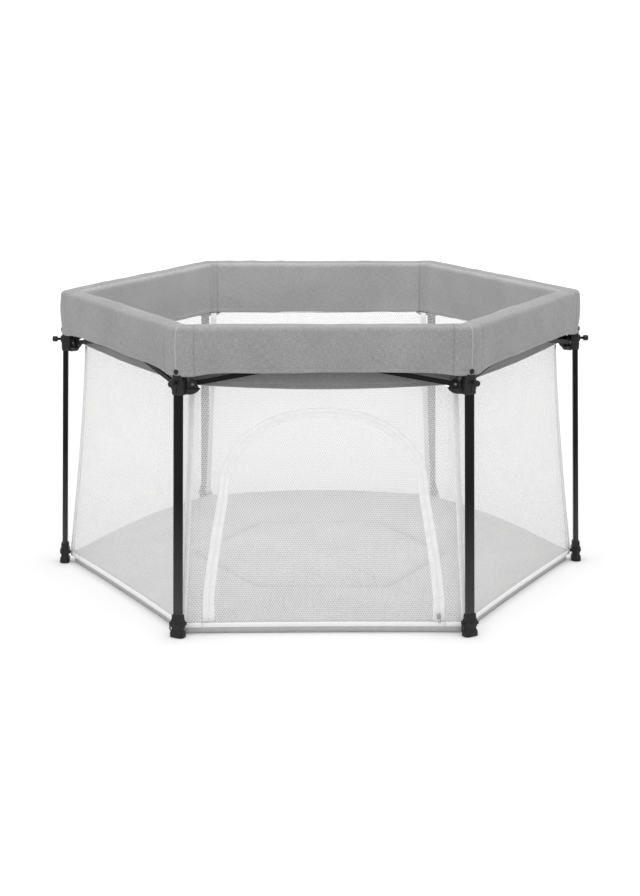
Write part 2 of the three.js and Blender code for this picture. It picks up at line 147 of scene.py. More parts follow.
def at_side(k, run, out, height):
    """Points from distances along side k, out from the centre and above the floor."""
    run, out, height = np.broadcast_arrays(*(np.asarray(x, float) for x in (run, out, height)))
    level = run[..., None] * along(k) + out[..., None] * outward(k)
    return level + height[..., None] * np.array([0, 0, 1.0])


def corner_matrix(k):
    return Matrix.Rotation(k * SIXTH, 4, "Z")


def leg_matrix(k):
    """Places a shape drawn down the leg from its pin, with X outwards and Z up the tube."""
    hinge = Matrix.Translation((LEG_HINGE_RADIUS, 0, LEG_HINGE_Z))
    lean = hinge @ Matrix.Rotation(-LEG_LEAN, 4, "Y")
    return corner_matrix(k) @ lean


def lying(x, z):
    """Lays a turned piece along +X from a point over the X axis."""
    return Matrix.Translation((x, 0, z)) @ Matrix.Rotation(QUARTER, 4, "Y")


def new_piece(name, vertices, faces, material, uvs=None, smooth=True):
    """A mesh object from vertices and faces, with UVs given for each vertex."""
    mesh = bpy.data.meshes.new(name)
    mesh.from_pydata([tuple(map(float, v)) for v in vertices], [], faces)
    if uvs is not None:
        layer = mesh.uv_layers.new(name="UVMap")
        corners = np.zeros(len(mesh.loops), int)
        mesh.loops.foreach_get("vertex_index", corners)
        layer.data.foreach_set("uv", np.asarray(uvs, float)[corners].ravel())
    mesh.polygons.foreach_set("use_smooth", [smooth] * len(mesh.polygons))
    mesh.materials.append(material)
    piece = bpy.data.objects.new(name, mesh)
    bpy.context.scene.collection.objects.link(piece)
    return piece


def fix_normals(piece):
    """Turns all faces of a closed piece outwards."""
    work = bmesh.new()
    work.from_mesh(piece.data)
    bmesh.ops.recalc_face_normals(work, faces=work.faces)
    work.to_mesh(piece.data)
    work.free()


def grid_faces(rows, columns, start=0, wrap_rows=False, wrap_columns=False):
    faces = []
    for r in range(rows if wrap_rows else rows - 1):
        for c in range(columns if wrap_columns else columns - 1):
            r2, c2 = (r + 1) % rows, (c + 1) % columns
            faces.append(tuple(start + i for i in (
                r * columns + c, r * columns + c2, r2 * columns + c2, r2 * columns + c)))
    return faces


def grid_uvs(grid):
    """UVs in metres: distance along each row, and down the columns."""
    across = np.linalg.norm(np.diff(grid, axis=1), axis=2).mean(axis=0)
    down = np.linalg.norm(np.diff(grid, axis=0), axis=2).mean(axis=1)
    u = np.concatenate([[0], np.cumsum(across)])
    v = np.concatenate([[0], np.cumsum(down)])
    return np.stack(np.meshgrid(u, v), axis=2)


def single_sheet(name, grid, material, uvs=None):
    """An open sheet from a grid of points."""
    rows, columns = grid.shape[:2]
    uvs = grid_uvs(grid) if uvs is None else uvs
    return new_piece(name, grid.reshape(-1, 3), grid_faces(rows, columns), material, uvs.reshape(-1, 2))


def closed_sheet(name, front, back, material, uvs=None):
    """A closed sheet between a front and a back grid."""
    rows, columns = front.shape[:2]
    uvs = grid_uvs(front) if uvs is None else uvs
    count = rows * columns
    faces = grid_faces(rows, columns) + grid_faces(rows, columns, count)
    rim = ([c for c in range(columns)] + [r * columns + columns - 1 for r in range(1, rows)]
           + [(rows - 1) * columns + c for c in range(columns - 2, -1, -1)]
           + [r * columns for r in range(rows - 2, 0, -1)])
    for i, a in enumerate(rim):
        b = rim[(i + 1) % len(rim)]
        faces.append((a, b, b + count, a + count))
    vertices = np.concatenate([front.reshape(-1, 3), back.reshape(-1, 3)])
    both = np.concatenate([uvs.reshape(-1, 2)] * 2)
    piece = new_piece(name, vertices, faces, material, both)
    fix_normals(piece)
    return piece


def loft(name, rings, material, smooth=True, hollow=False):
    """A closed piece through rings of points; a hollow one joins its last ring to its first."""
    rings = np.asarray(rings, float)
    rows, columns = rings.shape[:2]
    faces = grid_faces(rows, columns, wrap_rows=hollow, wrap_columns=True)
    if not hollow:
        faces += [tuple(range(columns)), tuple((rows - 1) * columns + c for c in range(columns))]
    piece = new_piece(name, rings.reshape(-1, 3), faces, material, smooth=smooth)
    fix_normals(piece)
    return piece


def prism(name, lower, upper, material, smooth=False):
    """A closed piece between two matching outlines."""
    count = len(lower)
    faces = [tuple(range(count)), tuple(range(count, 2 * count))]
    faces += [(i, (i + 1) % count, count + (i + 1) % count, count + i) for i in range(count)]
    piece = new_piece(name, [*lower, *upper], faces, material, smooth=smooth)
    fix_normals(piece)
    return piece


def rounded_ring(depth, width, corner, height, steps=5):
    """Points round a rounded rectangle at one height: depth along X, width along Y."""
    corner = min(corner, depth / 2 - 1e-5, width / 2 - 1e-5)
    points = []
    for quarter, (sx, sy) in enumerate([(1, 1), (-1, 1), (-1, -1), (1, -1)]):
        for step in range(steps + 1):
            angle = QUARTER * (quarter + step / steps)
            points.append((
                sx * (depth / 2 - corner) + corner * math.cos(angle),
                sy * (width / 2 - corner) + corner * math.sin(angle), height))
    return points


def lathe(name, profile, material, steps=40, ripple=None):
    """A closed piece turned about Z from (radius, height) pairs, both ends on the axis."""
    rings = []
    for radius, height in profile:
        ring = []
        for step in range(steps):
            angle = math.tau * step / steps
            r = radius * (1 + (ripple(angle, height) if ripple else 0))
            ring.append((r * math.cos(angle), r * math.sin(angle), height))
        rings.append(ring)
    return loft(name, rings, material)


def bevelled(piece, width, segments=3, angle=32):
    """Rounds the sharp edges of a hard piece."""
    bevel = piece.modifiers.new("edges", "BEVEL")
    bevel.width = width
    bevel.segments = segments
    bevel.limit_method = "ANGLE"
    bevel.angle_limit = math.radians(angle)
    bevel.harden_normals = True
    return piece


def merge(name, pieces):
    """Joins pieces into one object."""
    work = bmesh.new()
    materials = []
    for piece in pieces:
        for material in piece.data.materials:
            if material not in materials:
                materials.append(material)
        piece.data.transform(piece.matrix_world)
        start = len(work.faces)
        work.from_mesh(piece.data)
        work.faces.ensure_lookup_table()
        own = [materials.index(material) for material in piece.data.materials]
        for face in work.faces[start:]:
            face.material_index = own[face.material_index]
    mesh = bpy.data.meshes.new(name)
    work.to_mesh(mesh)
    work.free()
    for material in materials:
        mesh.materials.append(material)
    for piece in pieces:
        bpy.data.objects.remove(piece)
    joined = bpy.data.objects.new(name, mesh)
    bpy.context.scene.collection.objects.link(joined)
    return joined


def hang(piece, body, replaced=None):
    """Hangs a piece on its body, and hides the node that it stands for."""
    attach(piece, body)
    if replaced:
        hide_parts(replaced)


def place(piece, matrix, body, replaced=None):
    """Moves a new piece from where it was drawn to its place, and hangs it there."""
    piece.data.transform(matrix)
    hang(piece, body, replaced)


def home_corner(k):
    """The name of the corner that side k's cloth stays with as the frame folds."""
    return CORNERS[k + 1 if k == FRONT else k]


def fold_side(piece, k, half):
    """Gives a side piece its own copy of its mesh; the end of the side that it stays with is worked out but not
    used.
    """
    edge = half if k == FRONT else -half
    anchor = at_side(k, edge, 0, 0)
    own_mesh(piece)


# ---------------------------------------------------------------- materials


class Shader:
    """A material with its Principled shader, and short calls to add nodes to it."""

    def __init__(self, name, colour, roughness, metallic=0.0, specular=0.5):
        self.material = bpy.data.materials.new(name)
        self.material.use_nodes = True
        self.tree = self.material.node_tree
        self.main = self.tree.nodes["Principled BSDF"]
        self.put(self.main.inputs["Base Color"], (*colour, 1))
        self.put(self.main.inputs["Roughness"], roughness)
        self.put(self.main.inputs["Metallic"], metallic)
        self.put(self.main.inputs["Specular IOR Level"], specular)

    def put(self, socket, value):
        if isinstance(value, bpy.types.NodeSocket):
            self.tree.links.new(value, socket)
        else:
            socket.default_value = value

    def set(self, **values):
        for name, value in values.items():
            self.put(self.main.inputs[name.replace("_", " ")], value)

    def add(self, kind, inputs=None, **settings):
        node = self.tree.nodes.new(kind)
        for name, value in settings.items():
            setattr(node, name, value)
        for name, value in (inputs or {}).items():
            self.put(node.inputs[name], value)
        return node

    def coordinates(self, source="UV", scale=(1, 1, 1), turn=0.0):
        where = self.add("ShaderNodeTexCoord").outputs[source]
        return self.add("ShaderNodeMapping", {
            "Vector": where, "Scale": scale, "Rotation": (0, 0, turn)}).outputs["Vector"]

    def noise(self, vector, scale=1.0, detail=2.0, roughness=0.5):
        return self.add("ShaderNodeTexNoise", {
            "Vector": vector, "Scale": scale, "Detail": detail, "Roughness": roughness}).outputs["Fac"]

    def math(self, operation, a, b=0.0):
        node = self.add("ShaderNodeMath", operation=operation)
        self.put(node.inputs[0], a)
        self.put(node.inputs[1], b)
        return node.outputs[0]

    def mixed(self, a, b, share):
        """A share of one factor and the rest of another."""
        return self.math("ADD", self.math("MULTIPLY", a, share), self.math("MULTIPLY", b, 1 - share))

    def vector(self, operation, a, b=(0, 0, 0)):
        node = self.add("ShaderNodeVectorMath", operation=operation)
        self.put(node.inputs[0], a)
        self.put(node.inputs[1], b)
        return node.outputs["Value" if operation in ("LENGTH", "DOT_PRODUCT") else "Vector"]

    def between(self, factor, low, high, start=0.0, end=1.0):
        """Maps a factor from start..end to low..high."""
        return self.add("ShaderNodeMapRange", {
            "Value": factor, "From Min": start, "From Max": end, "To Min": low, "To Max": high},
            clamp=True).outputs["Result"]

    def shades(self, factor, dark, light, start=0.0, end=1.0):
        """A colour between two greys or tints, as a factor goes from start to end."""
        ramp = self.add("ShaderNodeValToRGB", {"Fac": factor})
        ramp.color_ramp.elements[0].position = start
        ramp.color_ramp.elements[0].color = (*dark, 1)
        ramp.color_ramp.elements[1].position = end
        ramp.color_ramp.elements[1].color = (*light, 1)
        return ramp.outputs["Color"]

    def bump(self, height, distance, strength=1.0):
        node = self.add("ShaderNodeBump", {
            "Height": height, "Distance": distance, "Strength": strength})
        self.put(self.main.inputs["Normal"], node.outputs["Normal"])

    def weave(self, pitch):
        """Over-and-under height of a plain weave, from UVs in metres."""
        split = self.add("ShaderNodeSeparateXYZ", {
            "Vector": self.coordinates(scale=(math.tau / pitch,) * 3)})
        warp = self.math("SINE", split.outputs["X"])
        weft = self.math("SINE", split.outputs["Y"])
        return self.math("MULTIPLY", warp, weft)


def grey(value, tint=0.0):
    return (value, value, value * (1 + tint))


def moulded_plastic():
    shader = Shader("moulded_black_plastic", grey(0.012), 0.42, specular=0.3)
    where = shader.coordinates("Object")
    grain = shader.noise(where, 1400, 2)
    cloudy = shader.noise(where, 35, 3)
    shader.set(Base_Color=shader.shades(cloudy, grey(0.009), grey(0.015, 0.04), 0.3, 0.75))
    shader.set(Roughness=shader.between(cloudy, 0.36, 0.5, 0.3, 0.7))
    shader.bump(grain, 0.06 * MM, 0.5)
    return shader.material


def coated_tube(name, value, roughness, painted_floor_reflection=0.0):
    """Satin black coating with rubbed patches; a leg's colour is painted lighter towards the floor, a painted
    reflection of the white floor.
    """
    shader = Shader(name, grey(value), roughness, specular=0.09)
    peel = shader.noise(shader.coordinates("Object"), 420, 2)
    rubbed = shader.noise(shader.coordinates("Object", (90, 90, 9)), 1, 4, 0.6)
    height = shader.add("ShaderNodeSeparateXYZ", {"Vector": shader.coordinates("Object")}).outputs["Z"]
    # Painted reflection: the colour turns lighter over the lowest 0.3 m, standing in for the white floor mirrored
    # in the leg's coating.
    painted_reflection = shader.between(height, painted_floor_reflection, 0.0, 0.03, 0.3)
    wear_and_painted_reflection = shader.math("ADD", shader.math("MULTIPLY", rubbed, value * 0.8), painted_reflection)
    shade = shader.math("ADD", wear_and_painted_reflection, value * 0.6)
    shader.set(Base_Color=shader.add("ShaderNodeCombineColor", {
        "Red": shade, "Green": shade, "Blue": shade}).outputs["Color"])
    shader.set(Roughness=shader.between(rubbed, roughness - 0.05, roughness + 0.09, 0.3, 0.8))
    shader.bump(peel, 0.05 * MM, 0.4)
    return shader.material


def melange_fabric(name, dark, light):
    """Woven polyester of mixed grey yarns."""
    shader = Shader(name, grey(dark), 0.92, specular=0.2)
    upright = shader.noise(shader.coordinates(scale=(700, 90, 1)), 1, 3, 0.6)
    across = shader.noise(shader.coordinates(scale=(110, 620, 1)), 1, 3, 0.6)
    flecks = shader.math("MULTIPLY", shader.math("ADD", upright, across), 0.5)
    patches = shader.noise(shader.coordinates(scale=(9, 9, 1)), 1, 3, 0.5)
    mixed = shader.mixed(flecks, patches, 0.82)
    shader.set(Base_Color=shader.shades(mixed, grey(dark), grey(light, 0.01), 0.33, 0.67))
    threads = shader.math("ADD", shader.math("MULTIPLY", shader.weave(1.1 * MM), 0.25), flecks)
    shader.bump(threads, 0.16 * MM, 0.35)
    shader.set(Sheen_Weight=0.12, Sheen_Roughness=0.5)
    return shader.material


def knitted_mesh(name, hole_alpha, thread_alpha):
    """White warp-knit netting: staggered round holes in a fine white ground."""
    pitch = 5.0 * MM
    row = pitch * 2 * COS30
    hole = 0.385 * pitch
    shader = Shader(name, grey(0.85), 0.8, specular=0.2)
    cells = shader.coordinates(scale=(1 / pitch, 1 / row, 1))

    def distance(offset):
        cell = shader.vector("FRACTION", shader.vector("ADD", cells, (offset, offset, 0)))
        centred = shader.vector("MULTIPLY", shader.vector("SUBTRACT", cell, (0.5, 0.5, 0)), (pitch, row, 0))
        return shader.vector("LENGTH", centred)

    nearest = shader.math("MINIMUM", distance(0.0), distance(0.5))
    thread = shader.between(nearest, 0.0, 1.0, hole - 0.06 * MM, hole + 0.06 * MM)
    shader.set(Alpha=shader.between(thread, hole_alpha, thread_alpha))
    shader.bump(thread, 0.25 * MM, 0.5)
    return shader.material


def woven_tape(name, value, pitch=1.6 * MM):
    """Narrow ribbed tape, such as a hem, a binding or a zip tape."""
    shader = Shader(name, grey(value), 0.75, specular=0.3)
    rib = shader.weave(pitch)
    soft = shader.noise(shader.coordinates(scale=(60, 60, 1)), 1, 3)
    shader.set(Base_Color=shader.shades(soft, grey(value * 0.94), grey(value), 0.35, 0.65))
    shader.bump(rib, 0.12 * MM, 0.6)
    shader.set(Sheen_Weight=0.1)
    return shader.material


def mat_fabric():
    """Light grey brushed polyester over thin wadding."""
    shader = Shader("mat_light_grey_fabric", grey(0.5), 0.9, specular=0.2)
    brushed = shader.noise(shader.coordinates(scale=(300, 300, 1)), 1, 3, 0.6)
    patches = shader.noise(shader.coordinates(scale=(7, 7, 1)), 1, 4, 0.5)
    mixed = shader.mixed(brushed, patches, 0.6)
    across = 0.0
    for k in range(3):
        flat = shader.vector("DOT_PRODUCT", shader.coordinates(), tuple(outward(k)))
        across = shader.math("MAXIMUM", across, shader.math("ABSOLUTE", flat))
    off_seam = shader.math("ABSOLUTE", shader.math("SUBTRACT", across, MAT_HEX * COS30))
    # Painted shade: the colour darkens within 9 mm of the sewn-down hexagon, for the shade in its groove.
    groove_painted_shade = shader.math("SUBTRACT", mixed, shader.between(off_seam, 0.26, 0.0, 1 * MM, 9 * MM))
    shader.set(Base_Color=shader.shades(groove_painted_shade, grey(0.34), grey(0.53), 0.2, 0.65))
    threads = shader.math("ADD", shader.math("MULTIPLY", shader.weave(1.1 * MM), 0.3), brushed)
    shader.bump(threads, 0.25 * MM, 0.5)
    shader.set(Sheen_Weight=0.1)
    return shader.material


def plated_steel():
    shader = Shader("plated_steel", grey(0.22), 0.42, metallic=1.0)
    turned = shader.noise(shader.coordinates("Object", (900, 900, 900)), 1, 2)
    shader.set(Roughness=shader.between(turned, 0.25, 0.42, 0.3, 0.7))
    shader.bump(turned, 0.03 * MM, 0.3)
    return shader.material


def zip_plastic(name, value):
    shader = Shader(name, grey(value), 0.45)
    fine = shader.noise(shader.coordinates("Object"), 500, 2)
    shader.set(Base_Color=shader.shades(fine, grey(value * 0.9), grey(value), 0.3, 0.7))
    shader.bump(fine, 0.04 * MM, 0.4)
    return shader.material


PLASTIC = moulded_plastic()
# The last number sets the painted floor reflection on the lower legs.
TUBE = coated_tube("satin_black_tube", 0.008, 0.36, 0.045)
BAR = coated_tube("satin_black_bar", 0.01, 0.4)
RAIL = melange_fabric("grey_melange_fabric", 0.19, 0.392)
# A lighter copy of the rail fabric for the cover's inner face: painted light, because the inner face shows
# brighter than the outer.
RAIL_INNER_PAINTED_LIGHT = melange_fabric("grey_fabric_inner_painted_light", 0.28, 0.51)
# A darker copy of the rail fabric for the cloth's back faces: painted shade, for the flap's underside in the
# rail's shadow.
RAIL_BACK_PAINTED_SHADE = melange_fabric("grey_fabric_back_painted_shade", 0.18, 0.32)
RAIL_TRIM = melange_fabric("light_grey_edge_tape", 0.33, 0.44)
# A lighter strip down each outer corner seam: a painted highlight, for light catching the raised welt.
RAIL_SEAM_PAINTED_HIGHLIGHT = melange_fabric("grey_seam_painted_highlight", 0.33, 0.47)
NET = knitted_mesh("white_knitted_mesh", 0.14, 0.76)
FINE_NET = knitted_mesh("white_fine_mesh", 0.24, 0.72)
TAPE = woven_tape("white_woven_tape", 0.9)
TAPE_INNER = woven_tape("white_zip_tape", 0.9, 1.2 * MM)
MAT = mat_fabric()
# Mid grey for the mat's rim under the hem: painted shade, standing in for the shadow line below the hem.
MAT_RIM_PAINTED_SHADE = woven_tape("mat_rim_painted_shade", 0.58)
STEEL = plated_steel()
ZIP_GREY = zip_plastic("grey_zip_plastic", 0.42)
ZIP_WHITE = zip_plastic("white_zip_teeth", 0.9)

# ---------------------------------------------------------------- rail cover

CAP = 40 * MM  # how far a corner piece reaches along each side, at the outer face
RAIL_CAP = RAIL_OUTER * TAN30 - CAP
CLOTH = 2.4 * MM
ROUND = 11 * MM
HEM = 9 * MM
EDGE_TAPE = 9 * MM
OUTER_BEND = 36 * MM  # plan radius of the outer face round a corner
INNER_BEND = 4 * MM
FLAP_PULL = 25 * MM  # how far the hanging net draws the inner flap outwards at mid-side
FLAP_DROP = 5 * MM
TAUT_SIDES = (SIDES.index("left_front"), SIDES.index("right_front"))
TAUT_PULL = 11 * MM  # the same on the two sides whose net hangs taut
CORNER_DROOP = 8 * MM  # how far the outer hem hangs down at a corner
RAIL_FRONTS = 4  # materials on the cover's faces; the same number follow for its back, all of them the darker copy with painted shade
TRIM_SLOT, INNER_PAINTED_LIGHT_SLOT, SEAM_PAINTED_HIGHLIGHT_SLOT = 1, 2, 3
SECTION_COLUMN = 30  # a column and a row of the cover along which its cloth is measured
FACE_ROW = 12


def rail_profile():
    """Section of the cover as (out, height) pairs, from the outer hem over the top to the inner edge."""
    outer, inner = RAIL_OUTER, RAIL_INNER
    points = [(outer - 2.2 * MM, RAIL_OUTER_BOTTOM - 0.6 * MM)]
    stitch = HEM / MM
    hem = ((0.8, 0), (3, 0.7), (6, 0.6), (stitch - 0.8, 0.5), (stitch, -0.9), (stitch + 0.8, 0.3))
    for z, out in hem:
        points.append((outer + out * MM, RAIL_OUTER_BOTTOM + z * MM))
    face = np.linspace(RAIL_OUTER_BOTTOM + 14 * MM, RAIL_TOP - ROUND, 9)
    for share, z in zip(np.linspace(0, 1, len(face)), face):
        points.append((outer + 2.0 * MM * math.sin(math.pi * share), z))
    for step in range(1, 6):
        angle = QUARTER * step / 5
        points.append((outer - ROUND * (1 - math.cos(angle)), RAIL_TOP - ROUND * (1 - math.sin(angle))))
    for share in np.linspace(0.2, 0.8, 4):
        points.append((
            (outer - ROUND) * (1 - share) + (inner + ROUND) * share,
            RAIL_TOP + 2.6 * MM * math.sin(math.pi * share)))
    for step in range(0, 6):
        angle = QUARTER * step / 5
        points.append((inner + ROUND * (1 - math.sin(angle)), RAIL_TOP - ROUND * (1 - math.cos(angle))))
    face = np.linspace(RAIL_TOP - ROUND, RAIL_INNER_BOTTOM + EDGE_TAPE + 3 * MM, 12)[1:]
    for share, z in zip(np.linspace(0, 1, len(face)), face):
        points.append((inner - 1.5 * MM * math.sin(math.pi * share), z))
    edge = ((EDGE_TAPE + 0.8 * MM, 0.2), (EDGE_TAPE, -0.6), (EDGE_TAPE - 0.8 * MM, -0.5),
            (5 * MM, -0.4), (0, 0))
    for above, out in edge:
        points.append((inner + out * MM, RAIL_INNER_BOTTOM + above))
    return np.array(points)


def rail_stations():
    """Where the columns of one corner's piece stand: shares from -1 to 1 round the corner."""
    right = [0.035, 0.08, 0.17, 0.3, 0.45, 0.6, 0.8, 1.0]
    return [-share for share in reversed(right)] + [0.0] + right


def corner_plan(k, out, share):
    """Plan position on the corner's bend, for the part of the section at this distance out."""
    blend = (out - RAIL_INNER) / (RAIL_OUTER - RAIL_INNER)
    bend = INNER_BEND + (OUTER_BEND - INNER_BEND) * max(0.0, min(1.0, blend))
    straight = out * TAN30 - bend * TAN30 - RAIL_CAP
    arc = bend * SIXTH
    length = straight + arc / 2
    run = abs(share) * length
    side, sign = (k, -1) if share >= 0 else (k - 1, 1)
    if run >= arc / 2:
        edge = sign * (RAIL_CAP + length - run)
        return at_side(side, edge, out, 0)
    angle = k * SIXTH + math.copysign(run / bend, share)
    centre = (out - bend) / COS30
    return radial(k) * centre + bend * heading(angle)


def wrinkle(point):
    """How far the cover's cloth stands proud of its plain shape at a point."""
    x, y, z = point
    broad = noise.noise(Vector((x * 9 + 3.1, y * 9, z * 13)))
    pulls = noise.noise(Vector((x * 26 + z * 30, y * 26 + z * 24 + 7.7, z * 9)))
    return 1.7 * MM * broad + 0.9 * MM * pulls * abs(pulls) * 3


def settle(point, k, column_run, out):
    """Moves a point of the cover as the cloth hangs: drooping hem, flap drawn out by the net."""
    x, y, z = point
    middle = max(0.0, 1 - abs(column_run / RAIL_CAP) ** 2) if column_run is not None else 0.0
    is_inner = out < (RAIL_OUTER + RAIL_INNER) / 2
    if is_inner:
        depth = max(0.0, (RAIL_TOP - ROUND - z) / (RAIL_TOP - ROUND - RAIL_INNER_BOTTOM))
        pull, drop = (TAUT_PULL, 0.0) if k in TAUT_SIDES else (FLAP_PULL, FLAP_DROP)
        shift = pull * middle * depth ** 1.3
        radius = math.hypot(x, y)
        return Vector((x, y, 0)) * (1 + shift / radius) + Vector((0, 0, z - drop * middle * depth))
    depth = max(0.0, 1 - (z - RAIL_OUTER_BOTTOM) / (RAIL_TOP - RAIL_OUTER_BOTTOM))
    sag = 1.5 * MM * noise.noise(Vector((x * 5, y * 5, 2.2)))
    end = abs(column_run / RAIL_CAP) ** 8 if column_run is not None else 1.0
    return Vector((x, y, z - (CORNER_DROOP * end + sag) * depth ** 2))


def rail_ring():
    """The whole cover as a grid: a row for each point of the section, a column for each station."""
    profile = rail_profile()
    columns, seam = [], []
    side_runs = np.linspace(-RAIL_CAP, RAIL_CAP, 42)[1:-1]
    for k in range(6):
        for share in rail_stations():
            column = [corner_plan(k, out, share) + np.array([0, 0, z]) for out, z in profile]
            columns.append([settle(point, None, None, out) for point, (out, z) in zip(column, profile)])
            seam.append({0.0: -1.3, 0.035: 0.9, -0.035: 0.9}.get(share, 0.0) * MM)
        for run in side_runs:
            columns.append([settle(at_side(k, run, out, z), k, run, out) for out, z in profile])
            seam.append(0.0)
    grid = np.array(columns).transpose(1, 0, 2)
    normals = ring_normals(grid)
    for row in range(grid.shape[0]):
        for column in range(grid.shape[1]):
            lift = wrinkle(grid[row, column]) + seam[column]
            grid[row, column] += normals[row, column] * lift
    return grid


def ring_normals(grid):
    """Outward normals of a grid whose columns wrap round."""
    round_it = np.roll(grid, -1, axis=1) - np.roll(grid, 1, axis=1)
    down = np.gradient(grid, axis=0)
    normals = np.cross(round_it, down)
    normals /= np.linalg.norm(normals, axis=2, keepdims=True)
    return normals


def make_rail():
    """Six corner pieces that ride with the corners, and six lengths between."""
    grid = rail_ring()
    section = grid[:, SECTION_COLUMN]
    ring = np.concatenate([grid[FACE_ROW], grid[FACE_ROW, :1]])
    uvs_v, uvs_u = (np.concatenate([[0], np.cumsum(np.linalg.norm(np.diff(line, axis=0), axis=1))])
                    for line in (section, ring))
    corner_count = len(rail_stations())
    per_side = grid.shape[1] // 6
    tape_row = grid.shape[0] - 4
    top_row = 24

    def piece(name, first, last, body):
        columns = [c % grid.shape[1] for c in range(first, last + 1)]
        part = grid[:, columns]
        uvs = np.stack(np.meshgrid(uvs_u[first:last + 1], uvs_v), axis=2)
        cover = single_sheet(name, part, RAIL, uvs)
        for extra in (RAIL_TRIM, RAIL_INNER_PAINTED_LIGHT, RAIL_SEAM_PAINTED_HIGHLIGHT, *[RAIL_BACK_PAINTED_SHADE] * RAIL_FRONTS):
            cover.data.materials.append(extra)
        middle = (corner_count - 1) // 2 if last - first == corner_count - 1 else None
        for face in cover.data.polygons:
            row, column = divmod(face.index, len(columns) - 1)
            # Painted highlight: the two columns beside a corner's seam on the outer face take the lighter strip.
            on_painted_seam_highlight = middle is not None and row < top_row and column in (middle - 1, middle)
            if row >= tape_row:
                face.material_index = TRIM_SLOT
            elif on_painted_seam_highlight:
                face.material_index = SEAM_PAINTED_HIGHLIGHT_SLOT
            elif row >= top_row + 2:
                # Inner face below the top: the lighter copy of the fabric, painted light.
                face.material_index = INNER_PAINTED_LIGHT_SLOT
        smooth = cover.modifiers.new("smooth", "SUBSURF")
        smooth.levels = smooth.render_levels = 1
        thick = cover.modifiers.new("thickness", "SOLIDIFY")
        thick.thickness = CLOTH
        thick.offset = -1
        # Back faces take the darker copy: painted shade.
        thick.material_offset = RAIL_FRONTS
        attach(cover, body)
        return cover

    for k in range(6):
        first = k * per_side
        piece(f"rail_corner_{CORNERS[k]}", first, first + corner_count - 1, "corner_" + CORNERS[k])
        last = first + corner_count - 1
        cover = piece(f"rail_side_{SIDES[k]}", last, first + per_side, "corner_" + home_corner(k))
        fold_side(cover, k, RAIL_CAP)
        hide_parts(f"rail_cover_{SIDES[k]}")


# ---------------------------------------------------------------- mesh walls

WALL_CORNER_TOP = 557 * MM
WALL_CORNER_FLARE = 50 * MM
WALL_FLARE_HEIGHT = 500 * MM
WALL_FLARE_POWER = 1.25
WALL_MIDDLE_TOP = 492 * MM
WALL_DRAWN_OUT = 14 * MM  # how much further out the top of a slack wall hangs, on its flap
WALL_TAUT_OUT = 2 * MM
WALL_MIDDLE_BOTTOM = 522 * MM
WALL_BOW_POWER = 2.3
WALL_CAP = 262 * MM
DOOR_BOTTOM_HALF = 247 * MM
DOOR_SPRING_HALF = 213 * MM
DOOR_SILL = 28 * MM
DOOR_UPRIGHT = 70 * MM  # the outline stands straight up to here, then leans in
DOOR_SPRING = 300 * MM
DOOR_TOP = 482 * MM
DOOR_LEAN_POWER = 1.25
DOOR_ARCH_POWER = 0.93  # under 1, the arch is a little squarer than an ellipse


def wall_corner(z):
    """Distance of the wall's corners from the centre, at a height."""
    flare = np.minimum(1, (WALL_TOP - z) / WALL_FLARE_HEIGHT)
    return WALL_CORNER_TOP + WALL_CORNER_FLARE * np.maximum(flare, 0) ** WALL_FLARE_POWER


def wall_out(run, z, k=FRONT):
    """Distance of wall k from the centre, at a place along the side."""
    corner = wall_corner(z) * COS30
    drawn = (WALL_TAUT_OUT if k in TAUT_SIDES else WALL_DRAWN_OUT) * (z / WALL_TOP) ** 4
    middle = WALL_MIDDLE_TOP + (WALL_MIDDLE_BOTTOM - WALL_MIDDLE_TOP) * (1 - z / WALL_TOP) + drawn
    u = np.minimum(1, np.abs(run) / (corner * TAN30))
    return middle + (corner - middle) * u ** WALL_BOW_POWER


def wall_point(k, run, z, lift=0.0):
    """Points on wall k, lifted off its outside, with the slack of the hanging net."""
    run, z = np.broadcast_arrays(np.asarray(run, float), np.asarray(z, float))
    out = wall_out(run, z, k)
    slack = np.zeros(run.shape)
    for index in np.ndindex(run.shape):
        x, h = run[index], z[index]
        taut = min(1.0, (h - WALL_BOTTOM) / 0.06, (WALL_TOP - h) / 0.1, (0.25 - abs(x)) / 0.08)
        if taut > 0:
            wave = noise.noise(Vector((x * 7 + 5.3 * k, h * 3.5, 1.7 * k)))
            slack[index] = 2.6 * MM * wave * taut
    return at_side(k, run, out + slack + lift, z)


def wall_end(z):
    return wall_corner(z) * COS30 * TAN30


def wall_levels(count=26):
    return np.linspace(WALL_TOP, WALL_BOTTOM, count)


def wall_panel_grid(k, columns=40):
    z = wall_levels()
    runs = np.linspace(-WALL_CAP, WALL_CAP, columns)
    grid = wall_point(k, runs[None, :], z[:, None])
    return grid, np.stack(np.meshgrid(runs, z), axis=2)


def sheet_size(grid):
    width = np.linalg.norm(np.diff(grid, axis=1), axis=2).sum(axis=1).max()
    height = np.linalg.norm(np.diff(grid, axis=0), axis=2).sum(axis=0).max()
    return round(float(width), 4), round(float(height), 4)


def fold_wall(piece, k):
    """Gives a piece of wall k its own copy of its mesh, through fold_side."""
    fold_side(piece, k, WALL_CAP)


def arch_lengths(bottom, spring, rise):
    """Lengths of one side of the door's outline and of its arch."""
    straight = math.hypot(bottom - spring, DOOR_SPRING - DOOR_SILL)
    return straight, math.pi * math.sqrt((spring ** 2 + rise ** 2) / 2)


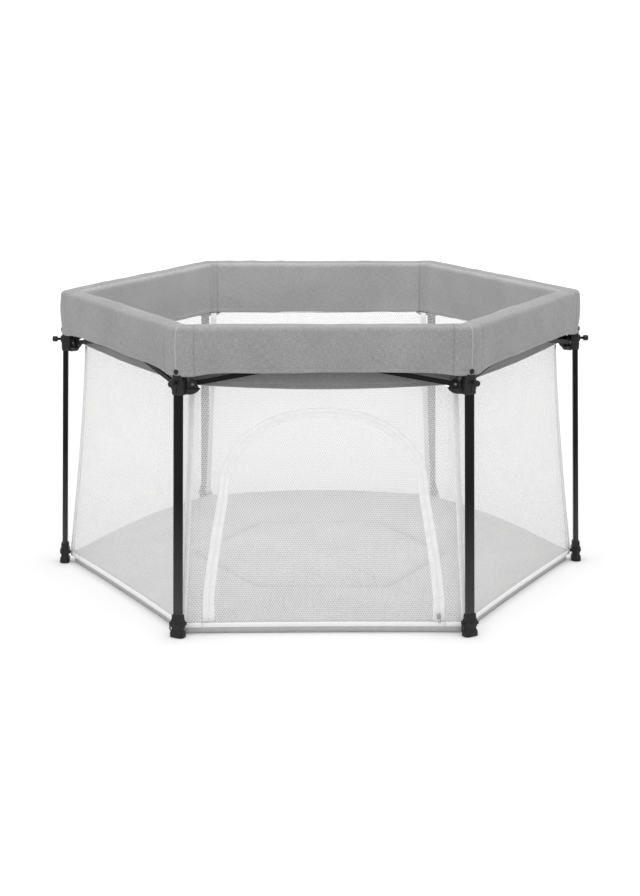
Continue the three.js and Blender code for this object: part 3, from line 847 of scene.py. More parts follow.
def arch(share, margin=0.0):
    """A point (run, height) on the door's outline, from its left foot over the top to its right foot."""
    bottom, spring = DOOR_BOTTOM_HALF - margin, DOOR_SPRING_HALF - margin
    rise = DOOR_TOP - DOOR_SPRING - margin
    straight, curve = arch_lengths(bottom, spring, rise)
    total = 2 * straight + curve
    run = share * total
    if run <= straight or run >= total - straight:
        height = DOOR_SILL + (DOOR_SPRING - DOOR_SILL) * min(run, total - run) / straight
        leaning = max(0.0, height - DOOR_UPRIGHT) / (DOOR_SPRING - DOOR_UPRIGHT)
        half = bottom + (spring - bottom) * leaning ** DOOR_LEAN_POWER
        return (-half if run <= straight else half), height
    angle = math.pi * (1 - (run - straight) / curve)
    across = math.copysign(abs(math.cos(angle)) ** DOOR_ARCH_POWER, math.cos(angle))
    return spring * across, DOOR_SPRING + rise * abs(math.sin(angle)) ** DOOR_ARCH_POWER


def front_surround():
    """The front net outside the arch, ruled from the arch to the panel's own edge."""
    columns = 90
    inner = [arch(i / (columns - 1)) for i in range(columns)]
    outer = []
    for x, z in inner:
        angle = math.atan2(z - DOOR_SILL, x)
        outer.append(panel_edge(angle))
    rows = []
    for t in np.linspace(0, 1, 9):
        rows.append([((1 - t) * a[0] + t * b[0], (1 - t) * a[1] + t * b[1]) for a, b in zip(inner, outer)])
    return np.array(rows)


def panel_edge(angle):
    """Where a line at this angle from the middle of the sill meets the panel's edge."""
    c, s = math.cos(angle), math.sin(angle)
    reach = WALL_CAP / abs(c) if abs(c) > 1e-9 else 1e9
    if s > 1e-9:
        reach = min(reach, (WALL_TOP - DOOR_SILL) / s)
    return reach * c, DOOR_SILL + reach * s


def door_sheet(margin):
    """The door's net, ruled from its sill to its arch."""
    columns, rows = 61, 16
    sill = DOOR_SILL + margin
    grid = []
    for t in np.linspace(0, 1, rows):
        row = []
        for i in range(columns):
            share = i / (columns - 1)
            x, z = arch(share, margin)
            foot = -(DOOR_BOTTOM_HALF - margin) * math.cos(math.pi * share)
            row.append(((1 - t) * foot + t * x, (1 - t) * sill + t * max(z, sill)))
        grid.append(row)
    return np.array(grid)


def make_walls():
    """Six panels, and six strips that stay with the legs."""
    for k in range(6):
        if k == FRONT:
            plan = front_surround()
            grid = wall_point(k, plan[..., 0], plan[..., 1])
            panel = single_sheet("mesh_panel_front", grid, NET, plan)
            sill_runs, sill_z = np.linspace(-WALL_CAP, WALL_CAP, 30), np.array([DOOR_SILL, WALL_BOTTOM])
            sill = single_sheet("mesh_sill_front", wall_point(k, sill_runs[None, :], sill_z[:, None]), NET,
                                np.stack(np.meshgrid(sill_runs, sill_z), axis=2))
            panel = merge_nets("mesh_panel_front", panel, sill)
        else:
            grid, uvs = wall_panel_grid(k)
            panel = single_sheet(f"mesh_panel_{SIDES[k]}", grid, FINE_NET, uvs)
        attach(panel, "leg_" + home_corner(k))
        fold_wall(panel, k)
        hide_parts(f"mesh_wall_{SIDES[k]}")
    for k in range(6):
        z = wall_levels()
        left = np.array([np.linspace(WALL_CAP, wall_end(h), 8) for h in z])
        right = np.array([np.linspace(-wall_end(h), -WALL_CAP, 8) for h in z])
        grid = np.concatenate([
            wall_point(k - 1, left, z[:, None]), wall_point(k, right, z[:, None])[:, 1:]], axis=1)
        strip = single_sheet(f"mesh_corner_{CORNERS[k]}", grid, FINE_NET)
        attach(strip, "leg_" + CORNERS[k])
        sheet_size(grid)


def merge_nets(name, *sheets):
    """Joins flat nets into one, keeping their UVs."""
    bpy.ops.object.select_all(action="DESELECT")
    for sheet in sheets:
        sheet.select_set(True)
    bpy.context.view_layer.objects.active = sheets[0]
    bpy.ops.object.join()
    sheets[0].name = name
    return sheets[0]


def make_door():
    plan = door_sheet(0.6 * MM)
    door = single_sheet("door_net", wall_point(FRONT, plan[..., 0], plan[..., 1]), NET, plan)
    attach(door, "door")
    fold_wall(door, FRONT)
    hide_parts("door_flap")


# ---------------------------------------------------------------- tapes, bindings and hems

TAPE_THICK = 0.35 * MM
TAPE_BACK = 0.15 * MM
TAPE_EDGE = 0.05 * MM
TAPE_HALF = 13 * MM
TAPE_NARROWED = 3.6 * MM  # how much less that is at the top of the arch
ZIP_GAP = 0.015  # half the gap between the two tapes, as a share of their half width
TOOTH_PITCH = 2.6 * MM
TOOTH_HALF = 1.2 * MM
HEM_SIDES = 16
TUBE_SIDES = 10


def crowned(points_at, shares):
    """Front and back grids of a tape: thin at its edges, full thickness between."""
    front, back = [], []
    for share in shares:
        rise = TAPE_THICK * (1 - abs(2 * share - 1) ** 12)
        front.append(points_at(share, TAPE_BACK + TAPE_EDGE + rise))
        back.append(points_at(share, TAPE_BACK))
    return np.array(front), np.array(back)


def arch_offset(share, offset):
    """The door's outline moved sideways, outwards from the door for a positive offset."""
    step = 0.002
    a, b = arch(max(0, share - step)), arch(min(1, share + step))
    dx, dz = b[0] - a[0], b[1] - a[1]
    length = math.hypot(dx, dz)
    x, z = arch(share)
    return x - dz / length * offset, z + dx / length * offset


def tape_half(share):
    """Half the door tape's width: wider towards both feet."""
    rise = math.sin(math.pi * share) ** 1.5
    return TAPE_HALF - TAPE_NARROWED * rise


def zip_band(name, inner, outer, material, body):
    """One of the two tapes of the zip, between two shares of the tape's half width."""
    shares = np.linspace(0, 1, 110)
    across = np.linspace(0, 1, 6)

    def points_at(t, lift):
        row = []
        for s in shares:
            offset = tape_half(s) * (inner + (outer - inner) * t)
            x, z = arch_offset(s, offset)
            row.append(wall_point(FRONT, x, max(z, DOOR_SILL - 3 * MM), lift))
        return row

    front, back = crowned(points_at, across)
    band = closed_sheet(name, front, back, material)
    hang(band, body)
    fold_wall(band, FRONT)


def zip_teeth():
    """The zip's coil as a row of small bars across the gap."""
    straight, curve = arch_lengths(DOOR_BOTTOM_HALF, DOOR_SPRING_HALF, DOOR_TOP - DOOR_SPRING)
    count = int((2 * straight + curve) / TOOTH_PITCH)
    vertices, faces = [], []
    for i in range(4, count - 4):
        share = (i + 0.5) / count
        quad = []
        for offset in (-TOOTH_HALF, TOOTH_HALF):
            for step in (-0.42, 0.42):
                x, z = arch_offset(share + step / count, offset)
                quad.append((x, z))
        start = len(vertices)
        for lift in (0.1 * MM, 0.7 * MM):
            for x, z in quad:
                vertices.append(wall_point(FRONT, x, z, lift))
        a = [start + n for n in range(8)]
        faces += [(a[0], a[1], a[3], a[2]), (a[4], a[6], a[7], a[5]), (a[0], a[4], a[5], a[1]),
                  (a[1], a[5], a[7], a[3]), (a[3], a[7], a[6], a[2]), (a[2], a[6], a[4], a[0])]
    teeth = new_piece("zip_teeth", vertices, faces, ZIP_WHITE, smooth=False)
    fix_normals(teeth)
    hang(teeth, "leg_front_right")
    fold_wall(teeth, FRONT)


def hem_section():
    """Section of the floor hem: (lift off the wall, height) pairs round a soft flat tube."""
    middle, half_thick, half_high = WALL_BOTTOM + 5 * MM, 2.2 * MM, 5 * MM
    points = []
    for i in range(HEM_SIDES):
        angle = math.tau * i / HEM_SIDES
        c, s = (math.copysign(abs(x) ** 0.7, x) for x in (math.cos(angle), math.sin(angle)))
        points.append((half_thick * c, middle + half_high * s))
    return points


def make_hems():
    """A tape round the foot of the walls: straight lengths and corners."""
    for k in range(6):
        runs = np.linspace(-WALL_CAP, WALL_CAP, 60)
        rings = [[wall_point(k, run, z, lift) for lift, z in hem_section()] for run in runs]
        hem = loft(f"hem_{SIDES[k]}", rings, TAPE)
        hang(hem, "leg_" + home_corner(k))
        fold_wall(hem, k)
    for k in range(6):
        rings = []
        for side, ends in ((k - 1, (WALL_CAP, None)), (k, (None, -WALL_CAP))):
            for i in range(7):
                ring = []
                for lift, z in hem_section():
                    reach = (wall_corner(z) * COS30 + lift) * TAN30
                    start = ends[0] if ends[0] is not None else -reach
                    stop = ends[1] if ends[1] is not None else reach
                    run = start + (stop - start) * i / 6
                    ring.append(wall_point(side, run, z, lift))
                rings.append(ring)
        del rings[7]  # both sides give the ring at the corner itself
        hem = loft(f"hem_corner_{CORNERS[k]}", rings, TAPE)
        hang(hem, "leg_" + CORNERS[k])


def make_bindings():
    """A white tape folded round each corner of the mesh, from the rail to the floor."""
    width = 8 * MM
    for k in range(6):
        z = np.linspace(WALL_TOP - 1 * MM, WALL_BOTTOM + 10 * MM, 34)
        shares = [-1, -0.9, -0.5, -0.12, 0, 0.12, 0.5, 0.9, 1]
        grids = []
        for lift in (1.5 * MM, -1.2 * MM):
            grid = []
            for h in z:
                row = []
                for share in shares:
                    thin = lift * (0.35 if abs(share) == 1 else 1)
                    side, sign = (k - 1, 1) if share < 0 else (k, -1)
                    reach = (wall_corner(h) * COS30 + thin) * TAN30
                    row.append(wall_point(side, sign * (reach - abs(share) * width), h, thin))
                grid.append(row)
            grids.append(np.array(grid))
        binding = closed_sheet(f"binding_{CORNERS[k]}", *grids, TAPE)
        hang(binding, "leg_" + CORNERS[k])


# ---------------------------------------------------------------- floor mat

MAT_EDGE = 34 * MM
MAT_GAP = 4.4 * MM
MAT_REST = 0.8 * MM
MAT_RIM = 12 * MM  # how far the mat's rim stands above the bottom of the wall
MAT_TURN_UP = 13 * MM  # how much higher the rim stands at the middle of a far side
FAR_SIDES = (0, 1, 2)
MAT_GRID = 84
LEAF_GAP = 0.12 * MM  # how far each leaf is moved out, so that the leaves don't touch


def mat_edge_point(side, share):
    """The mat's outer edge on one side, just inside the wall: share runs along the side."""
    end = (wall_corner(MAT_BOTTOM) * COS30 - MAT_GAP) * TAN30 - 4 * MM
    run = -end + 2 * end * share
    out = wall_out(run, MAT_BOTTOM + 0.01) - MAT_GAP
    return at_side(side, run, out, 0)


def leaf_plan(k, count):
    """A Coons patch over the four-sided leaf of corner k, as plan points."""
    shares = np.linspace(0, 1, count)
    shares = (1 - np.cos(math.pi * shares)) / 2 * 0.6 + shares * 0.4
    edge_a = np.array([mat_edge_point(k - 1, s) for s in shares])
    edge_b = np.array([mat_edge_point(k, 1 - s) for s in shares])
    centre = np.zeros(3)
    far_a = edge_a[0] = (edge_a[0] + mat_edge_point(k - 2, 1)) / 2
    far_b = edge_b[0] = (edge_b[0] + mat_edge_point(k + 1, 0)) / 2
    home = edge_a[-1] = edge_b[-1] = (edge_a[-1] + edge_b[-1]) / 2
    plan = np.zeros((count, count, 3))
    for i, a in enumerate(shares):
        for j, b in enumerate(shares):
            inner_a = centre * (1 - a) + far_b * a
            inner_b = centre * (1 - b) + far_a * b
            ruled_b = inner_a * (1 - b) + edge_a[i] * b
            ruled_a = inner_b * (1 - a) + edge_b[j] * a
            corners = centre * (1 - a) * (1 - b) + far_b * a * (1 - b) + far_a * (1 - a) * b + home * a * b
            plan[i, j] = ruled_a + ruled_b - corners
    return plan + radial(k) * LEAF_GAP


def hex_distance(x, y):
    """Distance from the centre measured across the flats of a hexagon in line with the frame."""
    return max(x * outward(k)[0] + y * outward(k)[1] for k in range(6))


def mat_height(x, y):
    """Height of the mat's top: soft swells, sewn down along an inner hexagon."""
    swell = 2.2 * MM * noise.noise(Vector((x * 5, y * 5, 0.3)))
    swell += 0.8 * MM * noise.noise(Vector((x * 16, y * 16, 4)))
    seam = abs(hex_distance(x, y) - MAT_HEX * COS30)
    groove = 8 * MM * math.exp(-(seam / (9 * MM)) ** 1.3)
    return MAT_TOP - 3 * MM + swell - groove


def wall_distance(point, k):
    """How far a plan point of the mat lies inside its edge on side k."""
    edge = wall_out(float(np.dot(point, along(k))), MAT_BOTTOM + 0.01) - MAT_GAP
    return edge - float(np.dot(point, outward(k)))


def mat_rim(point, k):
    """Height of the mat's rim: it turns up a little against the far walls."""
    if k % 6 not in FAR_SIDES:
        return WALL_BOTTOM + MAT_RIM
    run = float(np.dot(point, along(k))) / WALL_CAP
    return WALL_BOTTOM + MAT_RIM + MAT_TURN_UP * max(0.0, 1 - run ** 2)


def make_mat():
    for k in (0, 2, 4):
        plan = leaf_plan(k, MAT_GRID)
        top, bottom = plan.copy(), plan.copy()
        for i in range(MAT_GRID):
            for j in range(MAT_GRID):
                x, y = plan[i, j, :2]
                near, side = min((wall_distance(plan[i, j], s), s) for s in (k - 1, k))
                share = min(1.0, max(0.0, near / MAT_EDGE))
                rim = mat_rim(plan[i, j], side)
                top[i, j, 2] = rim + (mat_height(x, y) - rim) * share
                bottom[i, j, 2] = MAT_REST
        leaf = closed_sheet(f"mat_{CORNERS[k]}", top, bottom, MAT, plan[..., :2])
        leaf.data.materials.append(MAT_RIM_PAINTED_SHADE)
        # The rim faces take the mid grey: painted shade under the hem.
        for face in leaf.data.polygons[2 * (MAT_GRID - 1) ** 2:]:
            face.material_index = 1
        hang(leaf, "mat_" + CORNERS[k], "mat_leaf_" + CORNERS[k])
        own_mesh(leaf)


# ---------------------------------------------------------------- frame

LEG_WIDTH = 22 * MM
LEG_DEPTH = 12 * MM
LEG_WALL = 1.2 * MM
LEG_BOTTOM_Z = 18 * MM
STRAP_FACE = 10.6 * MM  # outside of the collar strap round a foot
STRAP_MIDDLE = 29.5 * MM
RIB_SUNK = 0.2 * MM
RIB_PROUD = 0.25 * MM


def make_leg(k):
    bottom = -(LEG_HINGE_Z - LEG_BOTTOM_Z) / math.cos(LEG_LEAN)
    heights = np.linspace(bottom, 0, 24)
    rings = [rounded_ring(LEG_DEPTH, LEG_WIDTH, 5.8 * MM, h, 8) for h in heights]
    inside = (LEG_DEPTH - 2 * LEG_WALL, LEG_WIDTH - 2 * LEG_WALL, 4.6 * MM)
    rings += [rounded_ring(*inside, h, 8) for h in heights[::-1]]
    leg = loft(f"leg_{CORNERS[k]}", rings, TUBE, hollow=True)
    place(leg, leg_matrix(k), "leg_" + CORNERS[k], "leg_tube_" + CORNERS[k])


# Outside of the foot, from the floor up: height, width along the wall, depth, corner radius
FOOT_PROFILE = [
    (0, 31, 20, 7), (0.6, 33.2, 22.2, 8), (2, 34, 23, 8.5), (9, 33.6, 22.8, 8.5), (12.5, 31.8, 21.6, 8),
    (14.6, 28, 19, 7), (16.5, 27, 18, 6), (19.5, 27, 18, 6), (21.2, 28.4, 19, 6), (22.4, 30, 20, 6),
    (35.5, 30, 20, 6), (37.2, 28.8, 19.2, 6), (38.2, 26.8, 18.4, 6), (46.4, 26, 18, 6), (48.2, 25.6, 17.6, 6),
    (49, 24.6, 16.6, 5.6),
]


def make_foot(k):
    base = -LEG_LENGTH
    outside = [rounded_ring(d * MM, w * MM, r * MM, base + z * MM, 6) for z, w, d, r in FOOT_PROFILE]
    socket = (LEG_DEPTH + 0.8 * MM, LEG_WIDTH + 0.8 * MM, 6 * MM)
    inside = [rounded_ring(*socket, base + z * MM, 6) for z in (49, 48, 34, 17)]
    rings = outside + inside + [rounded_ring(3 * MM, 6 * MM, 1 * MM, base + 17 * MM, 6)]
    shell = loft("foot_shell", rings, PLASTIC)
    loop = foot_loop(base)
    tooth = box_piece("foot_tooth", (-14, -10, -4, 4, 22, 29), base)
    strap = box_piece("foot_strap", (-10.6, 10.6, -15.6, 15.6, 26, 33), base)
    bolt = lathe("foot_bolt", in_mm([(0, 0), (3.4, 0), (3.4, 0.9), (2.4, 1.5), (0, 1.5)]), PLASTIC, 24)
    bolt.data.transform(lying(STRAP_FACE, base + STRAP_MIDDLE))
    foot = merge(f"foot_piece_{CORNERS[k]}", [shell, loop, tooth, strap, bolt])
    flatten_sole(foot)
    bevelled(foot, 0.7 * MM, 2)
    place(foot, leg_matrix(k), "leg_" + CORNERS[k], "foot_" + CORNERS[k])


def flatten_sole(foot):
    """Cuts the leaning foot level with the floor."""
    lean = Matrix.Rotation(-LEG_LEAN, 4, "Y")
    for vertex in foot.data.vertices:
        world = lean @ vertex.co
        floor = -LEG_HINGE_Z
        if world.z < floor + 0.3 * MM:
            world.z = floor + 0.3 * MM
            vertex.co = lean.inverted() @ world


def box_piece(name, limits, base):
    """A block between x, y and z limits in millimetres, with z above a base height."""
    x0, x1, y0, y1, z0, z1 = (value * MM for value in limits)
    plan = ((x0, y0), (x1, y0), (x1, y1), (x0, y1))
    lower, upper = ([(x, y, base + z) for x, y in plan] for z in (z0, z1))
    return prism(name, lower, upper, PLASTIC, smooth=True)


def foot_loop(base):
    """The tether loop on one side of the foot: an open D of round bar."""
    radius = 1.3 * MM
    route = [(-14, 12), (-19, 12), (-20.4, 14), (-20.4, 21), (-20.4, 28), (-19, 30.5), (-14, 31)]
    rings = []
    for i, (y, z) in enumerate(route):
        before, after = route[max(0, i - 1)], route[min(len(route) - 1, i + 1)]
        dy, dz = after[0] - before[0], after[1] - before[1]
        size = math.hypot(dy, dz)
        normal = (-dz / size, dy / size)
        ring = []
        for step in range(TUBE_SIDES):
            angle = math.tau * step / TUBE_SIDES
            side = radius * math.cos(angle)
            thick = 1.5 * radius * math.sin(angle)
            ring.append((thick, y * MM + normal[0] * side, base + z * MM + normal[1] * side))
        rings.append(ring)
    return loft("foot_loop", rings, PLASTIC)


# Slider: a hollow runner on the leg with a wing towards each bar
EAR_THICKNESS = 6 * MM
PIVOT_INSET = 24 * MM
knob_low, knob_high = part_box("knob_right")
KNOB_Z = (knob_low.z + knob_high.z) / 2
KNOB_LENGTH = knob_high.x - knob_low.x


def side_pin(k, turn):
    """Plan position of a bar's pin at corner k, on the side that turn +1 or -1 names."""
    return radial(k) * pivot_radius() + bar_run(k, turn) * PIVOT_INSET


def pivot_radius():
    """Distance from the centre of the point where a corner's two bar planes meet."""
    plane = float(np.dot(np.array(hub_pin), outward(SIDES.index("right_front"))))
    return plane / COS30


WING_BOTTOM = 524 * MM
WING_RADIUS = 10 * MM
BOWL_TOP = 535.6 * MM
LIP_THICKNESS = 14 * MM


def bowl_curve(steps):
    """The rounded rise of a slider's lower edge: (reach from the corner along the side, height)."""
    angles = [QUARTER * step / 8 for step in range(1, steps)]
    return [(17 * MM + 23 * MM * math.sin(a), WING_BOTTOM + 16.5 * MM * (1 - math.cos(a))) for a in angles]


def wing_outline():
    """Outline of a slider's wing, with its eye: (reach from the corner along the side, height)."""
    points = [(-2 * MM, WING_BOTTOM), (17 * MM, WING_BOTTOM), *bowl_curve(7)]
    for step in range(0, 13):
        angle = math.radians(-14 + step * 164 / 12)
        points.append((
            PIVOT_INSET + WING_RADIUS * math.cos(angle), SLIDER_PIN_Z + WING_RADIUS * math.sin(angle)))
    notch = [(13.4, 3.6), (12.2, 3.2), (11.2, 4.4), (10.6, 9), (10.4, 14), (-2, 14)]
    return points + [(reach * MM, SLIDER_PIN_Z + above * MM) for reach, above in notch]


def bowl_outline():
    """Outline of the thick lip under a wing, kept below the bar's end."""
    rise = bowl_curve(6)
    return [(-2 * MM, WING_BOTTOM), (17 * MM, WING_BOTTOM), *rise, (40 * MM, BOWL_TOP), (-2 * MM, BOWL_TOP)]


def side_plate(name, outline, thickness, k, turn):
    """Extrudes an outline in the plane of the bars, at corner k, on one side of it."""
    corner, run = radial(k) * pivot_radius(), bar_run(k, turn)
    across = np.cross(run, [0, 0, 1.0])
    lower, upper = ([
        corner + run * reach + across * side * thickness / 2 + np.array([0, 0, z])
        for reach, z in outline] for side in (-1, 1))
    return prism(name, lower, upper, PLASTIC)


def facing(place_at, direction):
    """Stands a turned piece on a point, with its axis along a direction."""
    turn = Vector(direction).to_track_quat("Z", "Y").to_matrix().to_4x4()
    return Matrix.Translation(Vector(place_at)) @ turn


def pin_head(k, turn):
    """The rivet of a slider's pin: on the wing where the inner bar ends, on the bar elsewhere."""
    out = outward(k) if turn > 0 else outward(k - 1)
    stand = EAR_THICKNESS / 2 + (0 if turn > 0 else 5.4 * MM)
    radius = 2.9 * MM
    profile = [(0, -stand), (2.4 * MM, -stand), (2.4 * MM, 0), (radius, 0), (radius, 0.4 * MM),
               (radius * 0.8, 0.9 * MM), (radius * 0.4, 1.1 * MM), (0, 1.1 * MM)]
    head = lathe("pin_head", profile, STEEL, 28)
    centre = side_pin(k, turn) + out * stand + np.array([0, 0, SLIDER_PIN_Z])
    head.data.transform(facing(centre, out))
    return head


# Slider body: (height above its foot, change in size), outside and then back down the bore
SLIDER_STEPS = [(0, -2.6), (0.8, -1.2), (2.2, -0.4), (4, 0), (31, 0), (33, -0.4), (35.4, -1.6), (36, -3.2),
                (42.6, -3.4), (43.6, -4), (44, -4.8)]
BORE_STEPS = [(44, 0.8), (42.5, 0), (1.5, 0), (0, 0.8)]
SLIDER_WALL = 2.4 * MM
BORE_DEPTH = 19.8 * MM
BOSS_REACH = 3.4 * MM  # from the slider's face to the knob's stem


def make_slider(k):
    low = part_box("slider_right")[0]
    bore_out = knob_low.x - SLIDER_WALL - BOSS_REACH
    middle = bore_out - BORE_DEPTH / 2
    rings = [rounded_ring(
        BORE_DEPTH + 2 * SLIDER_WALL + grow * MM, LEG_WIDTH + 2 * SLIDER_WALL + 0.8 * grow * MM,
        6 * MM, low.z + z * MM, 6) for z, grow in SLIDER_STEPS]
    rings += [rounded_ring(
        BORE_DEPTH + grow * MM, LEG_WIDTH + (1 + grow) * MM, 5.2 * MM, low.z + z * MM, 6)
        for z, grow in BORE_STEPS]
    body = loft("slider_body", rings, PLASTIC, hollow=True)
    body.data.transform(corner_matrix(k) @ Matrix.Translation((middle, 0, 0)))
    ridge = box_piece("slider_ridge", (-1, 1.2, -1.4, 1.4, 5, 31), low.z)
    ridge.data.transform(corner_matrix(k) @ Matrix.Translation((bore_out + SLIDER_WALL, 0, 0)))
    web = box_piece("slider_web", (586, (bore_out - BORE_DEPTH) / MM + 0.5, -11, 11, 0, 28), low.z)
    web.data.transform(corner_matrix(k))
    profile = [(0, -3), (8, -3), (7.8, 1.6), (7.2, 2.4), (3.7, 2.4), (3.7, 0.6), (0, 0.6)]
    boss = lathe("slider_boss", in_mm(profile), PLASTIC, 36)
    out = Vector(radial(k))
    boss.data.transform(facing(out * (bore_out + SLIDER_WALL) + Vector((0, 0, KNOB_Z)), out))
    wings = [side_plate("slider_wing", wing_outline(), EAR_THICKNESS, k, turn) for turn in (1, -1)]
    bowls = [side_plate("slider_bowl", bowl_outline(), LIP_THICKNESS, k, turn) for turn in (1, -1)]
    slider = merge(f"slider_piece_{CORNERS[k]}", [body, ridge, web, boss, *wings, *bowls])
    bevelled(slider, 1.1 * MM, 3)
    hang(slider, "slider_" + CORNERS[k], "slider_" + CORNERS[k])
    heads = merge(f"slider_rivets_{CORNERS[k]}", [pin_head(k, 1), pin_head(k, -1)])
    hang(heads, "slider_" + CORNERS[k])


def make_knob(k):
    """The pull knob: a stem and a grip with ribs round it."""
    stem = KNOB_LENGTH - 12 * MM
    grip = [(5.2, 0), (6.1, 0.6), (6.4, 1.6), (6.5, 3), (6.5, 9.4), (6.1, 10.8), (4.9, 11.7), (3.9, 12),
            (3.3, 11.5), (0, 11.3)]
    profile = [(0, 0), (2.9 * MM, 0), (2.9 * MM, stem)]
    profile += [(radius * MM, stem + height * MM) for radius, height in grip]

    def ribs(angle, height):
        on_grip = stem + 2 * MM < height < stem + 10 * MM
        return 0.045 * max(0.0, math.cos(12 * angle)) ** 2 - 0.03 if on_grip else 0

    knob = lathe(f"knob_piece_{CORNERS[k]}", profile, PLASTIC, 96, ribs)
    node = "knob_" + CORNERS[k]
    place(knob, corner_matrix(k) @ lying(knob_low.x, KNOB_Z), node, node)


def make_bar(k, kind):
    """A flat bar with a pressed groove and round ends, one of the scissor pair of side k."""
    outer = kind == "outer"
    thickness = 5 * MM
    offset = EAR_THICKNESS / 2 + 0.3 * MM + thickness / 2
    out = pivot_radius() * COS30 + (offset if outer else -offset)
    half = BAR_LENGTH / 2
    end_radius, half_high = 7 * MM, 5 * MM
    outline = []
    spread = math.asin(half_high / end_radius)
    for end in (1, -1):
        for step in range(15):
            angle = -math.pi + spread + (math.tau - 2 * spread) * step / 14
            outline.append((end * (half + end_radius * math.cos(angle)), end * end_radius * math.sin(angle)))
    mid_z = (HUB_PIN_Z + SLIDER_PIN_Z) / 2
    tilt = OPEN_ANGLE if not outer else -OPEN_ANGLE
    c, s = math.cos(tilt), math.sin(tilt)

    def put(points, depth):
        return [at_side(k, x * c - z * s, out + depth, mid_z + x * s + z * c) for x, z in points]

    bar = prism(f"{kind}_bar_blank", put(outline, -thickness / 2), put(outline, thickness / 2), BAR)
    face_depth = thickness / 2 * (1 if outer else -1)
    ribs = []
    for z in (-3.2 * MM, 3.2 * MM):
        ribs.append(bar_rib(half - 16 * MM, z, face_depth, 1.1 * MM, put))
    hub = pad_disc(put, face_depth)
    piece = merge(f"scissor_{kind}_{SIDES[k]}", [bar, *ribs, hub])
    bevelled(piece, 0.6 * MM, 2, 40)
    hang(piece, f"{kind}_bar_{SIDES[k]}", f"{kind}_bar_{SIDES[k]}")
    if outer:
        centre_rivet(k, thickness)


def bar_rib(half, z, depth, width, put):
    """A low raised rib along one face of a bar."""
    sign = math.copysign(1, depth)
    outline = [(-half, z - width / 2), (half, z - width / 2), (half, z + width / 2), (-half, z + width / 2)]
    sunk, proud = depth - sign * RIB_SUNK, depth + sign * RIB_PROUD
    return prism("bar_rib", put(outline, sunk), put(outline, proud), BAR)


def pad_disc(put, depth):
    """The round pad at the bar's middle, about the centre pin."""
    ring = [(7 * MM * math.cos(a), 7 * MM * math.sin(a)) for a in np.linspace(0, math.tau, 29)[:-1]]
    return prism("bar_pad", put(ring, -abs(depth)), put(ring, abs(depth)), BAR)


def centre_rivet(k, thickness):
    """Heads of the pin that joins the two bars of a side."""
    heads = []
    stand = EAR_THICKNESS / 2 + 0.3 * MM + thickness
    profile = [(0, -1), (2.4, -1), (2.4, 0), (4.2, 0), (4.2, 0.4), (3.4, 1), (1.4, 1.3), (0, 1.2)]
    middle = at_side(k, 0, pivot_radius() * COS30, (HUB_PIN_Z + SLIDER_PIN_Z) / 2)
    for direction in (outward(k), -outward(k)):
        head = lathe("centre_head", in_mm(profile), STEEL, 28)
        head.data.transform(facing(middle + direction * stand, direction))
        heads.append(head)
    rivet = merge(f"centre_rivet_{SIDES[k]}", heads)
    hang(rivet, f"outer_bar_{SIDES[k]}")


def make_snap(k):
    """The press stud at the foot of each outer corner seam."""
    profile = in_mm([(0, -1), (5.6, -1), (5.8, 0.2), (5.6, 1.2), (4.9, 1.9), (4.2, 1.7), (3.6, 1.9),
                     (2.2, 2.4), (0, 2.6)])
    snap = lathe(f"snap_{CORNERS[k]}", profile, PLASTIC, 36)
    radius = (RAIL_OUTER - OUTER_BEND) / COS30 + OUTER_BEND
    stud = corner_matrix(k) @ lying(radius + 0.4 * MM, RAIL_OUTER_BOTTOM + 1 * MM)
    place(snap, stud, "corner_" + CORNERS[k])


def finish_hubs():
    for name in CORNERS:
        hub = frame["nodes"]["hub_" + name]
        hub.data.materials.clear()
        hub.data.materials.append(PLASTIC)
        bevelled(hub, 0.8 * MM, 2)


def make_frame():
    finish_hubs()
    for k in range(6):
        make_leg(k)
        make_foot(k)
        make_slider(k)
        make_knob(k)
        make_bar(k, "outer")
        make_bar(k, "inner")
        make_snap(k)


# ---------------------------------------------------------------- zip slider and puller

tab_hinge = joint("zip_tab_swing")


def zip_place():
    """Frame at the tab's hinge: X across the zip, Y up along it, Z out from the wall."""
    across = -Vector(tab_hinge["axis"]).normalized()
    out = Vector((0, -1, 0))
    up = out.cross(across).normalized()
    turn = Matrix((across, up, out)).transposed().to_4x4()
    return Matrix.Translation(Vector(tab_hinge["pos_m"])) @ turn


def closed_tube(name, centres, radius, flatten, material):
    """A ring of soft-edged bar along a closed route in the XY plane."""
    rings = []
    count = len(centres)
    for i, (x, y) in enumerate(centres):
        before, after = centres[i - 1], centres[(i + 1) % count]
        dx, dy = after[0] - before[0], after[1] - before[1]
        size = math.hypot(dx, dy)
        ring = []
        for step in range(TUBE_SIDES):
            angle = math.tau * step / TUBE_SIDES
            side, rise = radius * math.cos(angle), radius * flatten * math.sin(angle)
            ring.append((x - dy / size * side, y + dx / size * side, rise))
        rings.append(ring)
    vertices = np.array(rings).reshape(-1, 3)
    tube = new_piece(name, vertices, grid_faces(count, TUBE_SIDES, 0, True, True), material)
    fix_normals(tube)
    return tube


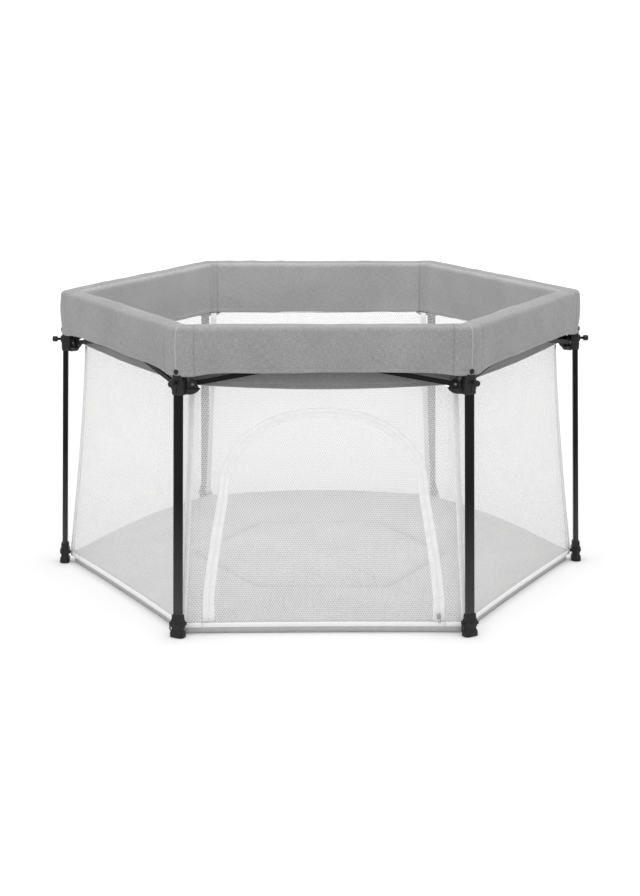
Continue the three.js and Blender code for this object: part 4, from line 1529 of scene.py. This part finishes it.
def make_zip():
    """The zip's slider with its bridge, and the teardrop ring that pulls it."""
    base = tab_hinge["pos_m"][1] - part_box("zip_slider")[1].y
    steps = [(0, -1), (0.3, -0.2), (0.9, 0), (1.5, -0.3), (1.7, -1.4), (2.0, -1.4), (2.2, -0.3), (2.8, 0),
             (3.4, -0.2), (3.7, -1.2)]
    depth, width, corner = 8.8, 12.6, 3
    rings = [rounded_ring((depth + grow) * MM, (width + grow) * MM, corner * MM, base + z * MM, 6)
             for z, grow in steps]
    shell = loft("zip_shell", rings, ZIP_GREY)
    bridge = closed_tube("zip_bridge", [
        (5 * MM * math.cos(a), 1.6 * MM * math.sin(a)) for a in np.linspace(0, math.tau, 25)[:-1]],
        0.8 * MM, 1.0, ZIP_GREY)
    bridge.data.transform(
        Matrix.Translation((0, 0, base + 3.2 * MM)) @ Matrix.Rotation(QUARTER, 4, "X")
        @ Matrix.Rotation(QUARTER, 4, "Z"))
    slider = merge("zip_slider_piece", [shell, bridge])
    place(slider, zip_place(), "zip_slider", "zip_slider")
    route = []
    for angle in np.linspace(0, math.tau, 41)[:-1]:
        width = 3.2 * MM * (0.72 - 0.28 * math.cos(angle))
        route.append((width * math.sin(angle), -6 * MM + 7.2 * MM * math.cos(angle)))
    ring = closed_tube("zip_tab_piece", route, 0.95 * MM, 0.8, ZIP_GREY)
    ring.data.transform(Matrix.Translation((0, 0, 0.4 * MM)))
    place(ring, zip_place(), "zip_tab", "zip_tab")


# ---------------------------------------------------------------- stage

FLOOR_HALF = 30
BACKDROP_Y = 29
BACKDROP_TOP = 12
LENS = 68.6
CAMERA_PLACE = Vector((-0.0021, -3.996, 1.2485))
CAMERA_DOWN = 13.58
CAMERA_TURN = math.radians(-0.69)


def white_sweep(name):
    """White paper that glows a little further off, so that it stays white to the edges."""
    shader = Shader(name, grey(0.88), 0.95, specular=0.05)
    place_at = shader.coordinates("Object")
    away = shader.between(shader.vector("LENGTH", place_at), 0.0, 0.4, 1.2, 6.0)
    shader.set(Emission_Color=(1, 1, 1, 1), Emission_Strength=away)
    return shader.material


def make_stage():
    """White floor and surround, an overhead softbox and the camera."""
    scene = bpy.context.scene
    scene.view_settings.view_transform = "Standard"
    world = bpy.data.worlds.new("studio")
    world.use_nodes = True
    sky = world.node_tree.nodes
    links = world.node_tree.links
    split = sky.new("ShaderNodeSeparateXYZ")
    links.new(sky.new("ShaderNodeTexCoord").outputs["Generated"], split.inputs["Vector"])
    fade = sky.new("ShaderNodeMapRange")
    links.new(split.outputs["Z"], fade.inputs["Value"])
    for socket, value in (("From Min", 0.0), ("From Max", 0.8), ("To Min", 0.42), ("To Max", 1.0)):
        fade.inputs[socket].default_value = value
    sky["Background"].inputs["Color"].default_value = (1, 1, 1, 1)
    links.new(fade.outputs["Result"], sky["Background"].inputs["Strength"])
    scene.world = world

    f, y, top = FLOOR_HALF, BACKDROP_Y, BACKDROP_TOP
    for name, corners in (
        ("floor", [(-f, -f, 0), (f, -f, 0), (f, f, 0), (-f, f, 0)]),
        ("backdrop", [(-f, y, -1), (f, y, -1), (f, y, top), (-f, y, top)]),
    ):
        new_piece(name, corners, [(0, 1, 2, 3)], white_sweep("studio_" + name))

    for name, place_at, aim, size, power in (
        ("overhead", (0.2, -0.3, 3.4), (0, 0, 0.3), 3.4, 62),
        ("front_left", (-2.4, -3.4, 2.6), (0, 0, 0.5), 2.0, 16),
    ):
        light = bpy.data.lights.new(name, "AREA")
        light.size = size
        light.energy = power
        lamp = bpy.data.objects.new(name, light)
        lamp.location = place_at
        lamp.rotation_euler = (Vector(aim) - Vector(place_at)).to_track_quat("-Z", "Y").to_euler()
        scene.collection.objects.link(lamp)

    camera = bpy.data.cameras.new("camera")
    camera.lens = LENS
    eye = bpy.data.objects.new("camera", camera)
    eye.location = Matrix.Rotation(CAMERA_TURN, 3, "Z") @ CAMERA_PLACE
    eye.rotation_euler = (math.radians(90 - CAMERA_DOWN), 0, CAMERA_TURN)
    scene.collection.objects.link(eye)
    scene.camera = eye


make_stage()
make_frame()
make_zip()
make_rail()
make_walls()
make_door()
zip_band("zip_tape_outer", ZIP_GAP, 1.0, TAPE, "leg_front_right")
zip_band("zip_tape_inner", -1.0, -ZIP_GAP, TAPE_INNER, "door")
zip_teeth()
make_hems()
make_bindings()
make_mat()
